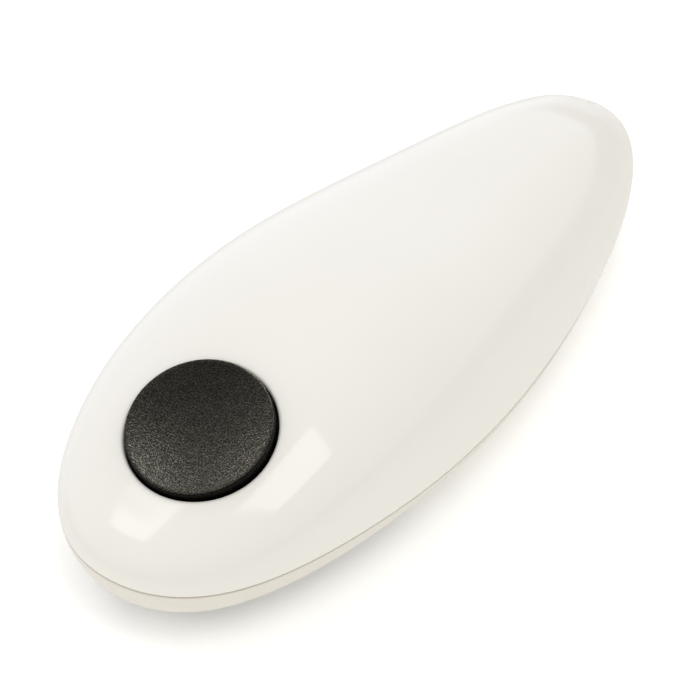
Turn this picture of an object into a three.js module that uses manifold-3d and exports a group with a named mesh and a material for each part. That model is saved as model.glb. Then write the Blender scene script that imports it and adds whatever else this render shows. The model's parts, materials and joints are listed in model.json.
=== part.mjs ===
// Hands-free electric can opener, battery powered.
//
// Units are millimetres and +Z is up. Inside the group, x is measured from the blunt end of the body to
// the tail tip, y is 0 on the long centre line and z is the height above the table that it stands on.
// The group is then moved so that its origin is at the middle of the footprint.

import * as THREE from 'three';
import { mergeVertices } from 'three/addons/utils/BufferGeometryUtils.js';
import Module from 'manifold-3d';

const wasm = await Module();
wasm.setup();

// ---------------------------------------------------------------- driving dimensions

const LENGTH = 195;                 // blunt end to tail tip
const BASE = 7;                     // table to the flat underside of the lower casing
const CLEARANCE = 0.3;              // gap between two pieces that touch

// Body shape. Each list holds the terms of a polynomial in u, which runs from -1 at the blunt end to +1
// at the tail tip. Heights are above BASE.
const HALF_WIDTH_TERMS = [41.4, -6.7, -3.4, 0.7, 9.4];    // times sin(t), where u = -cos(t)
const RIM_HEIGHT_TERMS = [8.9, -7.9, 7.9, 6];             // the widest line all round the body
const CROWN_TERMS = [27.7, -4.5, -12, 22.2, 5.9];         // top of the spine over the rim line
const CROWN_ROUNDING_BLUNT = 1.2;                         // powers of sin(t) that end the spine
const CROWN_ROUNDING_TAIL = 1.6;
const SECTION_POWER_BLUNT = 2.7;                          // super-ellipse power of the cross-section
const SECTION_POWER_TAIL = 2.6;
const SHOULDER_START = -0.9;        // u from which the dome starts to step in from the rim
const SHOULDER_INSET = 5.8;         // full step at the tail tip
const SHOULDER_HEIGHT = 1.5;
const SHOULDER_RISE = 5;            // higher is tighter to the rim
const SHOULDER_LAG = 1.6;
const TIP_START = 0.86;             // u from which the shoulder fades towards the tail tip
const TIP_EASE = 0.65;
const NOSE_DROP = 6;                // how much lower the rim line is at the rounded blunt end
const NOSE_RUN = 0.55;              // u over which it rises again
const NOSE_ROUNDING = 2.2;
const NOSE_SINE = 0.5;              // sin(t) where the rounding is complete
const SIDE_TUCK = 4.7;              // how far the side wall curves in from the rim to the underside
const SEAM_HEIGHT = 10.5;           // parting line at the blunt end
const SEAM_RUN = 348;               // length at which the falling parting line would reach BASE
const STATIONS = 20;                // steps along the body
const DOME_STEPS = [0, 0.04, 0.11, 0.2, 0.32, 0.45, 0.59, 0.73, 0.87];   // from the rim to the spine

const COVER_WALL = 2.2;
const CASING_WALL = 4;
const FLOOR = 2.2;
const TONGUE_INSET = 2.8;           // locating tongue of the lower casing, inside the cover
const TONGUE_HEIGHT = 2;

// Push button
const BUTTON_X = 36;
const BUTTON_RADIUS = 18;
const BUTTON_TILT = THREE.MathUtils.degToRad(18.5);
const BUTTON_PROUD = 1;
const BUTTON_GAP = 0.45;
const BUTTON_DISH = 1.2;
const BUTTON_FLANGE_RADIUS = BUTTON_RADIUS + 1.3;

// Gear train: all gear axes are vertical, the worm lies along the body
const DRIVE_AXIS = new THREE.Vector2(45, 0);
const CARRIER_AXIS = new THREE.Vector2(28, 0);
const WORM_GEAR_AXIS = new THREE.Vector2(60, -12);
const WORM_PITCH_RADIUS = 3;
const FINE = 0.75;                  // gear module of the worm and the first stage
const COARSE = 1.0;                 // gear module of the last two stages
const WORM_WHEEL_TEETH = 24;
const PINION_TEETH = 8;
const WHEEL_TEETH = 32;
const TRANSFER_TEETH = 17;
const STAGE_AXIS = crossing(
  DRIVE_AXIS,
  (COARSE * (PINION_TEETH + WHEEL_TEETH)) / 2,
  WORM_GEAR_AXIS,
  (FINE * (PINION_TEETH + WHEEL_TEETH)) / 2,
);

// Levels of the gear train, above the table
const PLATE_TOP = BASE + 2.5;       // mechanism plate
const TRANSFER_LEVEL = [PLATE_TOP + 0.3, PLATE_TOP + 2.8];
const DRIVE_LEVEL = [PLATE_TOP + 5.1, PLATE_TOP + 7.6];
const STAGE_LEVEL = [PLATE_TOP + 8.1, PLATE_TOP + 10.1];
const WORM_LEVEL = [PLATE_TOP + 10.6, PLATE_TOP + 13.6];
const MOTOR_AXIS_Z = (WORM_LEVEL[0] + WORM_LEVEL[1]) / 2;
const TOP_PLATE = [PLATE_TOP + 16.1, PLATE_TOP + 17.6];
const MECHANISM_SPAN = [15, 73];    // along x, of both gearbox plates
const POSTS = [[22, 16.5], [22, -16.5], [66, 16], [68, -26]];
const PLATE_INSET = 10.5;           // mechanism plate's edge, in from the body's outline

// Motor and worm, along x
const MOTOR = { front: 70, length: 22, capLength: 2.6, radius: 10, halfHeight: 7.5 };
const SHAFT_RADIUS = 1;
const SHAFT_SPAN = [52.4, 94.7];
const WORM_SPAN = [55.1, 64.9];
const STRAP_SCREW_Y = 16.5;
const STRAP_FOOT = 19.4;

// Two AA cells, side by side, and their compartment
const CELL = { radius: 7.1, length: 49.5, nub: 1.0, nubRadius: 2.7, y: 7.6, z: 9.1, x: 103.2 };
const COMPARTMENT = { start: 97, end: 159.6, halfWidth: 18, top: 18.2, wall: 2 };
const DOOR_THICKNESS = 1.6;
const LEAD_HOLE_X = 100.2;

// Casing screws, from below
const CASING_SCREWS = [[10.4, 0], [84, 30], [84, -30], [172, 0]];
const CASING_BOSS_RADIUS = 3.6;

// Cutting head, below the mechanism plate
const ECCENTRICITY = 4;
const CUTTER_RADIUS = 6.6;
const DRIVE_WHEEL_RADIUS = 6;
const SPINDLE_RADIUS = 2.5;
const MAGNET_X = 62;
const WHEEL_FACE = [1.4, 5.4];      // heights of the drive wheel
const CARRIER_DISC = [4.6, 6.6];    // heights of the cutter carrier's disc
const PRESS_FIT = 0.15;             // gap that stands in for a press fit on a shaft
const PIN_BORE = 1.15;              // gear bore on its fixed pin
const PIN_HOLE = 1.3;               // hole for that pin in a plate
const BUSH_HOLE = 4.3;              // hole for a flanged bush in the mechanism plate

// ---------------------------------------------------------------- materials

function finish(color, roughness, metalness) {
  return new THREE.MeshStandardMaterial({ color, roughness, metalness });
}

const WHITE_GLOSS = finish(0xf0ede6, 0.22, 0);
const WHITE_SATIN = finish(0xe7e3d6, 0.35, 0);
const BLACK_GRAINED = finish(0x1e1d1b, 0.6, 0);
const BLACK_PLASTIC = finish(0x1c1c1d, 0.45, 0);
const GREY_PLASTIC = finish(0x8d8f92, 0.5, 0);
const NATURAL_ACETAL = finish(0xece8dc, 0.4, 0);
const RED_PLASTIC = finish(0xa82a22, 0.45, 0);
const STEEL = finish(0xb9bcc0, 0.3, 1);
const DARK_STEEL = finish(0x6a6c70, 0.4, 1);
const BRONZE = finish(0xa47a45, 0.4, 1);
const NICKEL = finish(0xc9c8c2, 0.25, 1);
const MAGNET_NICKEL = finish(0xa9abae, 0.3, 1);
const CELL_JACKET = finish(0x2f6f52, 0.4, 0);
const SPRING_STEEL = finish(0xa3a6aa, 0.3, 1);

// ---------------------------------------------------------------- solids

// Turns a closed three.js geometry into a manifold solid with its faces pointing out.
function solid(geometry) {
  const bare = new THREE.BufferGeometry();
  bare.setAttribute('position', geometry.getAttribute('position').clone());
  const inOrder = Array.from({ length: bare.getAttribute('position').count }, (_, i) => i);
  bare.setIndex(geometry.index ? Array.from(geometry.index.array) : inOrder);
  const merged = mergeVertices(bare, 1e-4);
  const points = merged.getAttribute('position').array;
  const corners = merged.index.array;
  const kept = [];
  for (let i = 0; i < corners.length; i += 3) {
    const [a, b, c] = [corners[i], corners[i + 1], corners[i + 2]];
    if (a !== b && b !== c && c !== a) kept.push(a, b, c);
  }
  const faces = signedVolume(points, kept) < 0 ? flipped(kept) : kept;
  const mesh = new wasm.Mesh({
    numProp: 3,
    vertProperties: new Float32Array(points),
    triVerts: new Uint32Array(faces),
  });
  return new wasm.Manifold(mesh);
}

function signedVolume(points, faces) {
  const at = (i) => new THREE.Vector3(points[3 * i], points[3 * i + 1], points[3 * i + 2]);
  let sum = 0;
  for (let i = 0; i < faces.length; i += 3) {
    sum += at(faces[i]).dot(at(faces[i + 1]).cross(at(faces[i + 2])));
  }
  return sum / 6;
}

function flipped(faces) {
  const turned = [];
  for (let i = 0; i < faces.length; i += 3) turned.push(faces[i], faces[i + 2], faces[i + 1]);
  return turned;
}

function geometryOf(manifold) {
  const mesh = manifold.getMesh();
  const geometry = new THREE.BufferGeometry();
  geometry.setAttribute('position', new THREE.BufferAttribute(new Float32Array(mesh.vertProperties), 3));
  geometry.setIndex(new THREE.BufferAttribute(new Uint32Array(mesh.triVerts), 1));
  return geometry;
}

const widened = ([low, high], by) => [low - by, high + by];
const join = (...pieces) => pieces.reduce((sum, piece) => sum.add(piece));
const cut = (body, ...tools) => tools.reduce((rest, tool) => rest.subtract(tool), body);

function box([x0, x1], [y0, y1], [z0, z1]) {
  const geometry = new THREE.BoxGeometry(x1 - x0, y1 - y0, z1 - z0);
  geometry.translate((x0 + x1) / 2, (y0 + y1) / 2, (z0 + z1) / 2);
  return solid(geometry);
}

// An upright cylinder at (x, y) between two heights.
function post([x, y], radius, [z0, z1], segments = 24) {
  const geometry = new THREE.CylinderGeometry(radius, radius, z1 - z0, segments);
  geometry.rotateX(Math.PI / 2);
  geometry.translate(x, y, (z0 + z1) / 2);
  return solid(geometry);
}

// A cylinder along x.
function rod([x0, x1], [y, z], radius, segments = 24) {
  const geometry = new THREE.CylinderGeometry(radius, radius, x1 - x0, segments);
  geometry.rotateZ(Math.PI / 2);
  geometry.translate((x0 + x1) / 2, y, z);
  return solid(geometry);
}

// A turned piece about the local z axis, from [radius, height] pairs that start and end on the axis.
function turned(profile, segments = 24) {
  const geometry = new THREE.LatheGeometry(profile.map(([r, z]) => new THREE.Vector2(r, z)), segments);
  geometry.rotateX(Math.PI / 2);
  return solid(geometry);
}

// A flat outline between two heights.
function slab(points, [z0, z1]) {
  const shape = new THREE.Shape(points.map(([x, y]) => new THREE.Vector2(x, y)));
  const geometry = new THREE.ExtrudeGeometry(shape, { depth: z1 - z0, bevelEnabled: false });
  geometry.translate(0, 0, z0);
  return solid(geometry);
}

const arc = (centre, radius, from, to, steps) => Array.from({ length: steps + 1 }, (_, i) => {
  const angle = from + ((to - from) * i) / steps;
  return [centre.x + radius * Math.cos(angle), centre.y + radius * Math.sin(angle)];
});

// A closed section carried along a list of frames: each frame turns a section point into a 3-D point.
function sweep(section, frames) {
  const points = [];
  const faces = [];
  const n = section.length;
  frames.forEach((frame) => section.forEach((corner) => points.push(...frame(corner).toArray())));
  for (let k = 0; k + 1 < frames.length; k++) {
    for (let i = 0; i < n; i++) {
      const [a, b] = [k * n + i, k * n + ((i + 1) % n)];
      faces.push(a, b, b + n, a, b + n, a + n);
    }
  }
  const last = (frames.length - 1) * n;
  for (let i = 1; i + 1 < n; i++) {
    faces.push(0, i + 1, i);
    faces.push(last, last + i, last + i + 1);
  }
  const geometry = new THREE.BufferGeometry();
  geometry.setAttribute('position', new THREE.Float32BufferAttribute(points, 3));
  geometry.setIndex(faces);
  return solid(geometry);
}

// A wire coil about the local z axis; radiusAt(f) is its mean radius at the fraction f of its height.
function coil({ radiusAt, wire, bottom, top, turns, stepsPerTurn = 10, sides = 5 }) {
  const section = Array.from({ length: sides }, (_, i) => {
    const angle = (2 * Math.PI * i) / sides;
    return [wire * Math.cos(angle), wire * Math.sin(angle)];
  });
  const steps = Math.round(turns * stepsPerTurn);
  const frames = Array.from({ length: steps + 1 }, (_, k) => ([across, up]) => {
    const f = k / steps;
    const angle = 2 * Math.PI * turns * f;
    const radius = radiusAt(f) + across;
    const height = bottom + wire + (top - bottom - 2 * wire) * f + up;
    return new THREE.Vector3(radius * Math.cos(angle), radius * Math.sin(angle), height);
  });
  return sweep(section, frames);
}

// ---------------------------------------------------------------- body shape

const polynomial = (terms, u) => terms.reduceRight((sum, term) => sum * u + term, 0);
const mix = (from, to, share) => from + (to - from) * share;
const smoothed = (share) => share * share * (3 - 2 * share);

// The body's measures at the angle t, from 0 at the blunt end to PI at the tail tip.
function station(t) {
  const u = -Math.cos(t);
  const along = (1 + u) / 2;
  const x = LENGTH * along;
  const sine = Math.max(Math.sin(t), 0);
  const rounding = mix(CROWN_ROUNDING_BLUNT, CROWN_ROUNDING_TAIL, smoothed(along));
  const drop = NOSE_DROP * (1 - smoothed(Math.min((1 + u) / NOSE_RUN, 1)));
  const regained = 1 - (1 - Math.min(sine / NOSE_SINE, 1)) ** NOSE_ROUNDING;
  const rim = polynomial(RIM_HEIGHT_TERMS, u) - drop;
  const seam = SEAM_HEIGHT * (1 - x / SEAM_RUN);
  const fade = 1 - TIP_EASE * smoothed(Math.max((u - TIP_START) / (1 - TIP_START), 0));
  return {
    x,
    halfWidth: sine * polynomial(HALF_WIDTH_TERMS, u),
    rim,
    crown: sine ** rounding * polynomial(CROWN_TERMS, u) + drop * regained,
    shoulder: fade * smoothed(Math.max((u - SHOULDER_START) / (1 - SHOULDER_START), 0)),
    power: mix(SECTION_POWER_BLUNT, SECTION_POWER_TAIL, along),
    seam,
    innerRim: (rim + seam) / 2,
  };
}

const stationAt = (x) => station(Math.acos(THREE.MathUtils.clamp(1 - (2 * x) / LENGTH, -1, 1)));

// A point of the plan outline on the side -1 or +1, moved in by a distance square to the outline.
function outline(t, side, inset) {
  const at = station(t);
  const step = 1e-4;
  const [before, after] = [station(Math.max(t - step, 0)), station(Math.min(t + step, Math.PI))];
  const along = new THREE.Vector2(after.x - before.x, after.halfWidth - before.halfWidth).normalize();
  const atTip = t < step || t > Math.PI - step;
  const inward = atTip ? [t < step ? 1 : -1, 0] : [along.y, -along.x];
  return [at.x + inward[0] * inset, side * Math.max(at.halfWidth + inward[1] * inset, 0)];
}

// One closed loop round the body: from the blunt end along the -y side to the tail, and back.
function ring(pointAt) {
  return Array.from({ length: 2 * STATIONS }, (_, i) => {
    const side = i < STATIONS ? -1 : 1;
    const t = (Math.PI * (i < STATIONS ? i : 2 * STATIONS - i)) / STATIONS;
    return pointAt(t, side);
  });
}

// A loop on the side wall, at the fraction of the way from the underside to the rim line.
const wallRing = (heightAt, inset) => ring((t, side) => {
  const at = station(t);
  const height = heightAt(at);
  const tuck = SIDE_TUCK * Math.max(1 - height / at.rim, 0) ** 2;
  const [x, y] = outline(t, side, tuck + inset);
  return [x, y, BASE + height];
});

// Loops of the domed top, from the rim line up; depth is the wall thickness for an inner surface.
function domeRings(depth) {
  return DOME_STEPS.map((share) => ring((t, side) => {
    const at = station(t);
    const across = Math.cos((Math.PI / 2) * share);
    const lift = (1 - across ** at.power) ** (1 / at.power);
    const rise = 1 - (1 - share) ** SHOULDER_RISE;
    const step = SHOULDER_INSET * at.shoulder * rise ** SHOULDER_LAG;
    const foot = depth > 0 ? at.innerRim : at.rim;
    const [x, y] = outline(t, side, depth + step);
    const above = depth > 0 ? stationAt(outline(t, side, depth)[0]) : at;
    const top = Math.max(above.rim + above.crown - depth, foot + 0.3 * at.crown);
    return [x, y * across, BASE + foot + SHOULDER_HEIGHT * at.shoulder * rise + (top - foot) * lift];
  }));
}

// Joins a run of loops into one closed solid, with a flat cap on the first and the last.
function ringSolid(rings) {
  const points = rings.flat(2);
  const n = 2 * STATIONS;
  const faces = [];
  for (let k = 0; k + 1 < rings.length; k++) {
    for (let i = 0; i < n; i++) {
      const [a, b] = [k * n + i, k * n + ((i + 1) % n)];
      faces.push(a, b, b + n, a, b + n, a + n);
    }
  }
  const last = (rings.length - 1) * n;
  for (let i = 0; i < STATIONS; i++) {
    const [a, b, c, d] = [i, i + 1, n - i - 1, (n - i) % n];
    faces.push(a, c, b, a, d, c);
    faces.push(last + a, last + b, last + c, last + a, last + c, last + d);
  }
  const geometry = new THREE.BufferGeometry();
  geometry.setAttribute('position', new THREE.Float32BufferAttribute(points, 3));
  geometry.setIndex(faces);
  return solid(geometry);
}

// The whole body as one solid block, its surface moved in by a distance.
const bodyCore = (inset) => ringSolid([wallRing(() => 0.5, inset), ...domeRings(inset)]);

// A plate that follows the body's outline, between two heights and two stations along x.
function bodyPlate(inset, heights, span) {
  const level = (z) => ring((t, side) => [...outline(t, side, inset), z]);
  const plate = ringSolid([level(heights[0]), level(heights[1])]);
  return plate.intersect(box(span, [-60, 60], [heights[0] - 1, heights[1] + 1]));
}

// ---------------------------------------------------------------- button frame

const crownAt = (x) => BASE + stationAt(x).rim + stationAt(x).crown;

// Local z runs out of the body along the button's travel; local 0 is on the body's surface.
const buttonFrame = new THREE.Matrix4()
  .makeTranslation(BUTTON_X, 0, crownAt(BUTTON_X))
  .multiply(new THREE.Matrix4().makeRotationY(-BUTTON_TILT));
const inButtonFrame = (piece) => piece.transform(buttonFrame.elements);
const disc = (radius, span, segments = 24) => inButtonFrame(post([0, 0], radius, span, segments));

// ---------------------------------------------------------------- casings

function topCover() {
  const seamEdge = (at) => at.seam + CLEARANCE / 2;
  const halfway = (at) => (at.seam + at.rim) / 2;
  const shell = ringSolid([
    ...domeRings(COVER_WALL).reverse(),
    wallRing(seamEdge, COVER_WALL),
    wallRing(seamEdge, 0),
    wallRing(halfway, 0),
    ...domeRings(0),
  ]);
  const bosses = CASING_SCREWS.map(([x, y]) => post([x, y], 3.2, [BASE + 6, BASE + 40], 16));
  const holes = CASING_SCREWS.map(([x, y]) => post([x, y], 1.4, [BASE + 5, BASE + 14.5], 12));
  const trimmed = join(...bosses).intersect(bodyCore(1));
  const screwPockets = POSTS.slice(0, 2).map((at) => post(at, 2.7, [TOP_PLATE[0], TOP_PLATE[1] + 2.1], 16));
  const buttonHole = disc(BUTTON_RADIUS + BUTTON_GAP, [-8, 6], 48);
  return cut(shell.add(trimmed), ...holes, ...screwPockets, buttonHole);
}

function lowerCasing() {
  const seamEdge = (at) => at.seam - CLEARANCE / 2;
  const tongueTop = (at) => at.seam + TONGUE_HEIGHT;
  const cup = ringSolid([
    wallRing(() => 0, 0.8),
    wallRing(() => 0.8, 0),
    wallRing((at) => at.seam / 2, 0),
    wallRing(seamEdge, 0),
    wallRing(seamEdge, TONGUE_INSET),
    wallRing(tongueTop, TONGUE_INSET),
    wallRing(tongueTop, CASING_WALL),
    wallRing(() => FLOOR, CASING_WALL),
  ]);
  const { start, end, halfWidth, top, wall } = COMPARTMENT;
  const bayOutside = box([start, end], [-halfWidth, halfWidth], [0, top]);
  const inner = halfWidth - wall;
  const bayInside = box([start + wall, end - wall], [-inner, inner], [-1, top - 1.5]);
  const doorway = box([start + wall, end + 1], [-inner, inner], [-1, DOOR_THICKNESS + CLEARANCE]);
  const grooves = box([start + wall, end + 1], [-inner - 1.2, inner + 1.2], [0.6, 1.5]);
  const bosses = CASING_SCREWS.map(([x, y]) => post([x, y], CASING_BOSS_RADIUS, [BASE + 1, BASE + 5.6], 16));
  const holes = CASING_SCREWS.map(([x, y]) => post([x, y], 1.6, [BASE - 1, BASE + 7], 12));
  const heads = CASING_SCREWS.map(([x, y]) => post([x, y], 3.1, [BASE - 1, BASE + 3], 16));
  const leadHoles = [-1, 1].map((s) => post([LEAD_HOLE_X, 11 * s], 1, [top - 2, top + 1], 10));
  const mouth = bodyPlate(PLATE_INSET - CLEARANCE, [BASE - 1, BASE + 4], widened(MECHANISM_SPAN, CLEARANCE));
  const shell = join(cup, bayOutside, ...bosses);
  return cut(shell, bayInside, doorway, grooves, mouth, ...leadHoles, ...holes, ...heads);
}

// Slides off towards the tail, held by a tongue in a groove on each side.
function batteryDoor() {
  const { start, end, halfWidth, wall } = COMPARTMENT;
  const inner = halfWidth - wall - CLEARANCE;
  const span = [start + wall + CLEARANCE, end];
  const panel = box(span, [-inner, inner], [0, DOOR_THICKNESS]);
  const tongues = box(span, [-inner - 1, inner + 1], [0.85, 1.25]);
  const ribs = Array.from({ length: 5 }, (_, i) => box(
    [end - 14 + 2.4 * i, end - 13 + 2.4 * i],
    [-7, 7],
    [-1, 0.4],
  ));
  return cut(join(panel, tongues), ...ribs);
}

// ---------------------------------------------------------------- button and switch

function buttonCap() {
  const rim = BUTTON_PROUD + 0.1;
  const dishAt = (r) => rim - BUTTON_DISH * (1 - (r / (BUTTON_RADIUS - 0.8)) ** 2);
  const dish = [0, 5, 9, 12.5, 15.2].map((r) => [r, dishAt(r)]);
  return inButtonFrame(turned([
    ...dish,
    [BUTTON_RADIUS - 0.8, rim],
    [BUTTON_RADIUS - 0.2, rim - 0.2],
    [BUTTON_RADIUS, rim - 0.8],
    [BUTTON_RADIUS, -4.4],
    [BUTTON_FLANGE_RADIUS, -4.4],
    [BUTTON_FLANGE_RADIUS, -5.5],
    [BUTTON_RADIUS - 1.6, -5.5],
    [BUTTON_RADIUS - 1.6, -1.6],
    [2.6, -1.6],
    [2.6, -5.9],
    [0, -5.9],
  ], 32));
}

const buttonSpring = () => inButtonFrame(coil({
  radiusAt: () => 9,
  wire: 0.35,
  bottom: -7.8,
  top: -1.8,
  turns: 4,
}));

// Stands on the gearbox top plate, holds the switch and guides the button's stem.
function buttonGuide() {
  const floor = TOP_PLATE[1] + CLEARANCE;
  const tower = join(disc(11, [-20, -8]), disc(7, [-20, -4.9]));
  const foot = box([29, 51], [-8, 8], [floor, floor + 1.5]).subtract(disc(11, [-8, 0]));
  const trimmed = tower.intersect(box([0, 80], [-40, 40], [floor, 60]));
  return cut(trimmed.add(foot), disc(5.7, [-20, -6.1]), disc(2.9, [-7, 0], 16));
}

function switchBody() {
  const block = inButtonFrame(box([-3.7, 3.7], [-3.7, 3.7], [-11.3, -8.2]));
  return cut(block, disc(1.9, [-10.9, -5], 16));
}

const switchPlunger = () => disc(1.6, [-8.6, -6.2], 16);

function switchTerminal(side) {
  return inButtonFrame(box([-0.8, 0.8], widened([2 * side, 2 * side], 0.3), [-14.6, -11.6]));
}

// ---------------------------------------------------------------- gears

// The point at distance a from p and b from q, on the -y side.
function crossing(p, a, q, b) {
  const apart = p.distanceTo(q);
  const along = (a * a - b * b + apart * apart) / (2 * apart);
  const off = Math.sqrt(a * a - along * along);
  const unit = q.clone().sub(p).divideScalar(apart);
  return new THREE.Vector2(
    p.x + unit.x * along + unit.y * off,
    p.y + unit.y * along - unit.x * off,
  );
}

const bearing = (from, to) => Math.atan2(to.y - from.y, to.x - from.x);

// A spur gear with one tooth centred on the angle toothAt.
function spurGear({ centre, module, teeth, level, toothAt }) {
  const pitch = (2 * Math.PI) / teeth;
  const pitchRadius = (module * teeth) / 2;
  const [root, tip] = [pitchRadius - 1.2 * module, pitchRadius + 0.9 * module];
  const points = [];
  for (let k = 0; k < teeth; k++) {
    const middle = toothAt + k * pitch;
    [[root, -0.3], [tip, -0.12], [tip, 0.12], [root, 0.3]].forEach(([radius, part]) => {
      const angle = middle + part * pitch;
      points.push([centre.x + radius * Math.cos(angle), centre.y + radius * Math.sin(angle)]);
    });
  }
  return slab(points, level);
}

const gapAt = (angle, teeth) => angle + Math.PI / teeth;

function wormGear() {
  const wheel = spurGear({
    centre: WORM_GEAR_AXIS,
    module: FINE,
    teeth: WORM_WHEEL_TEETH,
    level: WORM_LEVEL,
    toothAt: gapAt(Math.PI / 2, WORM_WHEEL_TEETH),
  });
  const pinion = spurGear({
    centre: WORM_GEAR_AXIS,
    module: FINE,
    teeth: PINION_TEETH,
    level: [STAGE_LEVEL[0] - 0.2, WORM_LEVEL[0] + 0.1],
    toothAt: bearing(WORM_GEAR_AXIS, STAGE_AXIS),
  });
  const hub = post(WORM_GEAR_AXIS, 3.4, [WORM_LEVEL[1] - 0.1, WORM_LEVEL[1] + 1.4], 16);
  return cut(join(wheel, pinion, hub), post(WORM_GEAR_AXIS, PIN_BORE, [0, 60], 12));
}

function stageGear() {
  const wheel = spurGear({
    centre: STAGE_AXIS,
    module: FINE,
    teeth: WHEEL_TEETH,
    level: STAGE_LEVEL,
    toothAt: gapAt(bearing(STAGE_AXIS, WORM_GEAR_AXIS), WHEEL_TEETH),
  });
  const pinion = spurGear({
    centre: STAGE_AXIS,
    module: COARSE,
    teeth: PINION_TEETH,
    level: [DRIVE_LEVEL[0] - 0.2, STAGE_LEVEL[0] + 0.1],
    toothAt: bearing(STAGE_AXIS, DRIVE_AXIS),
  });
  return cut(join(wheel, pinion), post(STAGE_AXIS, PIN_BORE, [0, 60], 12));
}

function driveGear() {
  const wheel = spurGear({
    centre: DRIVE_AXIS,
    module: COARSE,
    teeth: WHEEL_TEETH,
    level: DRIVE_LEVEL,
    toothAt: gapAt(bearing(DRIVE_AXIS, STAGE_AXIS), WHEEL_TEETH),
  });
  const transfer = spurGear({
    centre: DRIVE_AXIS,
    module: COARSE,
    teeth: TRANSFER_TEETH,
    level: TRANSFER_LEVEL,
    toothAt: bearing(DRIVE_AXIS, CARRIER_AXIS),
  });
  const hub = post(DRIVE_AXIS, 5, [TRANSFER_LEVEL[1] - 0.1, DRIVE_LEVEL[0] + 0.1]);
  return cut(join(wheel, transfer, hub), post(DRIVE_AXIS, SPINDLE_RADIUS + PRESS_FIT, [0, 60], 16));
}

function carrierGear() {
  const wheel = spurGear({
    centre: CARRIER_AXIS,
    module: COARSE,
    teeth: TRANSFER_TEETH,
    level: TRANSFER_LEVEL,
    toothAt: gapAt(0, TRANSFER_TEETH),
  });
  return cut(wheel, post(CARRIER_AXIS, SPINDLE_RADIUS + PRESS_FIT, [0, 60], 16));
}

// One right-hand thread on a core. A crest faces the worm wheel's centre line.
function worm() {
  const pitch = Math.PI * FINE;
  const [root, tip] = [WORM_PITCH_RADIUS - 1.2 * FINE, WORM_PITCH_RADIUS + 0.9 * FINE];
  const section = [[root - 0.3, -0.3], [tip, -0.13], [tip, 0.13], [root - 0.3, 0.3]]
    .map(([radius, part]) => [radius, part * pitch]);
  const [from, to] = [WORM_SPAN[0] + 0.8, WORM_SPAN[1] - 0.8];
  const stepsPerTurn = 10;
  const steps = Math.floor(((to - from) / pitch) * stepsPerTurn);
  const frames = Array.from({ length: steps + 1 }, (_, k) => ([radius, along]) => {
    const x = from + (k * pitch) / stepsPerTurn;
    const angle = Math.PI + (2 * Math.PI * (x - WORM_GEAR_AXIS.x)) / pitch;
    return new THREE.Vector3(x + along, radius * Math.cos(angle), MOTOR_AXIS_Z + radius * Math.sin(angle));
  });
  const axis = [0, MOTOR_AXIS_Z];
  const thread = sweep(section, frames);
  return cut(rod(WORM_SPAN, axis, root, 12).add(thread), rod([0, 100], axis, SHAFT_RADIUS + PRESS_FIT, 12));
}

// ---------------------------------------------------------------- gearbox

function mechanismPlate() {
  const plate = bodyPlate(PLATE_INSET, [BASE, PLATE_TOP], MECHANISM_SPAN);
  const flangeLevel = [BASE + FLOOR + CLEARANCE, PLATE_TOP + 1.2];
  const flange = cut(
    bodyPlate(PLATE_INSET - 2.2, flangeLevel, widened(MECHANISM_SPAN, 1.8)),
    bodyPlate(PLATE_INSET + 1.5, widened(flangeLevel, 1), widened(MECHANISM_SPAN, -1.5)),
    post(CASING_SCREWS[0], CASING_BOSS_RADIUS + CLEARANCE, widened(flangeLevel, 1)),
  );
  const columns = POSTS.map((at) => post(at, 3, [PLATE_TOP - 0.2, TOP_PLATE[0] - CLEARANCE], 16));
  const screwHoles = POSTS.map((at) => post(at, 1.2, [TOP_PLATE[0] - 9, 60], 12));
  const bores = [
    post(DRIVE_AXIS, BUSH_HOLE, [0, BASE + 3]),
    post(CARRIER_AXIS, BUSH_HOLE, [0, BASE + 3]),
    post(WORM_GEAR_AXIS, PIN_HOLE, [BASE + 1, 60], 12),
    post(STAGE_AXIS, PIN_HOLE, [BASE + 1, 60], 12),
  ];
  const pinBosses = [
    post(WORM_GEAR_AXIS, 2.2, [BASE + 1, STAGE_LEVEL[0] - 0.6], 16),
    post(STAGE_AXIS, 2.8, [BASE + 1, DRIVE_LEVEL[0] - 0.6], 16),
  ];
  return cut(join(plate, flange, ...columns, ...pinBosses), ...bores, ...screwHoles);
}

function gearboxTopPlate() {
  const plate = bodyPlate(PLATE_INSET, TOP_PLATE, [MECHANISM_SPAN[0] + 2, MECHANISM_SPAN[1]]);
  const motorSides = widened([-MOTOR.radius, MOTOR.radius], 0.5);
  const motorNotch = box([MOTOR.front - 1, 80], motorSides, widened(TOP_PLATE, 1));
  const hanger = box([52.3, 54.3], [-3.2, 3.2], [MOTOR_AXIS_Z - 2.6, TOP_PLATE[0] + 0.2]);
  const bores = [
    post(DRIVE_AXIS, 1.6, [TOP_PLATE[0] - 1, TOP_PLATE[1] + 1], 16),
    post(WORM_GEAR_AXIS, PIN_HOLE, [TOP_PLATE[0] - 1, TOP_PLATE[1] + 1], 12),
    post(STAGE_AXIS, PIN_HOLE, [TOP_PLATE[0] - 1, TOP_PLATE[1] + 1], 12),
    ...POSTS.map((at) => post(at, 1.6, [TOP_PLATE[0] - 1, TOP_PLATE[1] + 1], 12)),
  ];
  const switchWindow = box([34.2, 42.4], [-5.6, 5.6], widened(TOP_PLATE, 1));
  const buttonClearance = disc(BUTTON_FLANGE_RADIUS + 0.7, [-8.4, 6], 32);
  const shaftHole = rod([50, 57], [0, MOTOR_AXIS_Z], SHAFT_RADIUS + 0.2, 12);
  return cut(plate.add(hanger), ...bores, switchWindow, buttonClearance, motorNotch, shaftHole);
}

// ---------------------------------------------------------------- drive and cutting head

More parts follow.
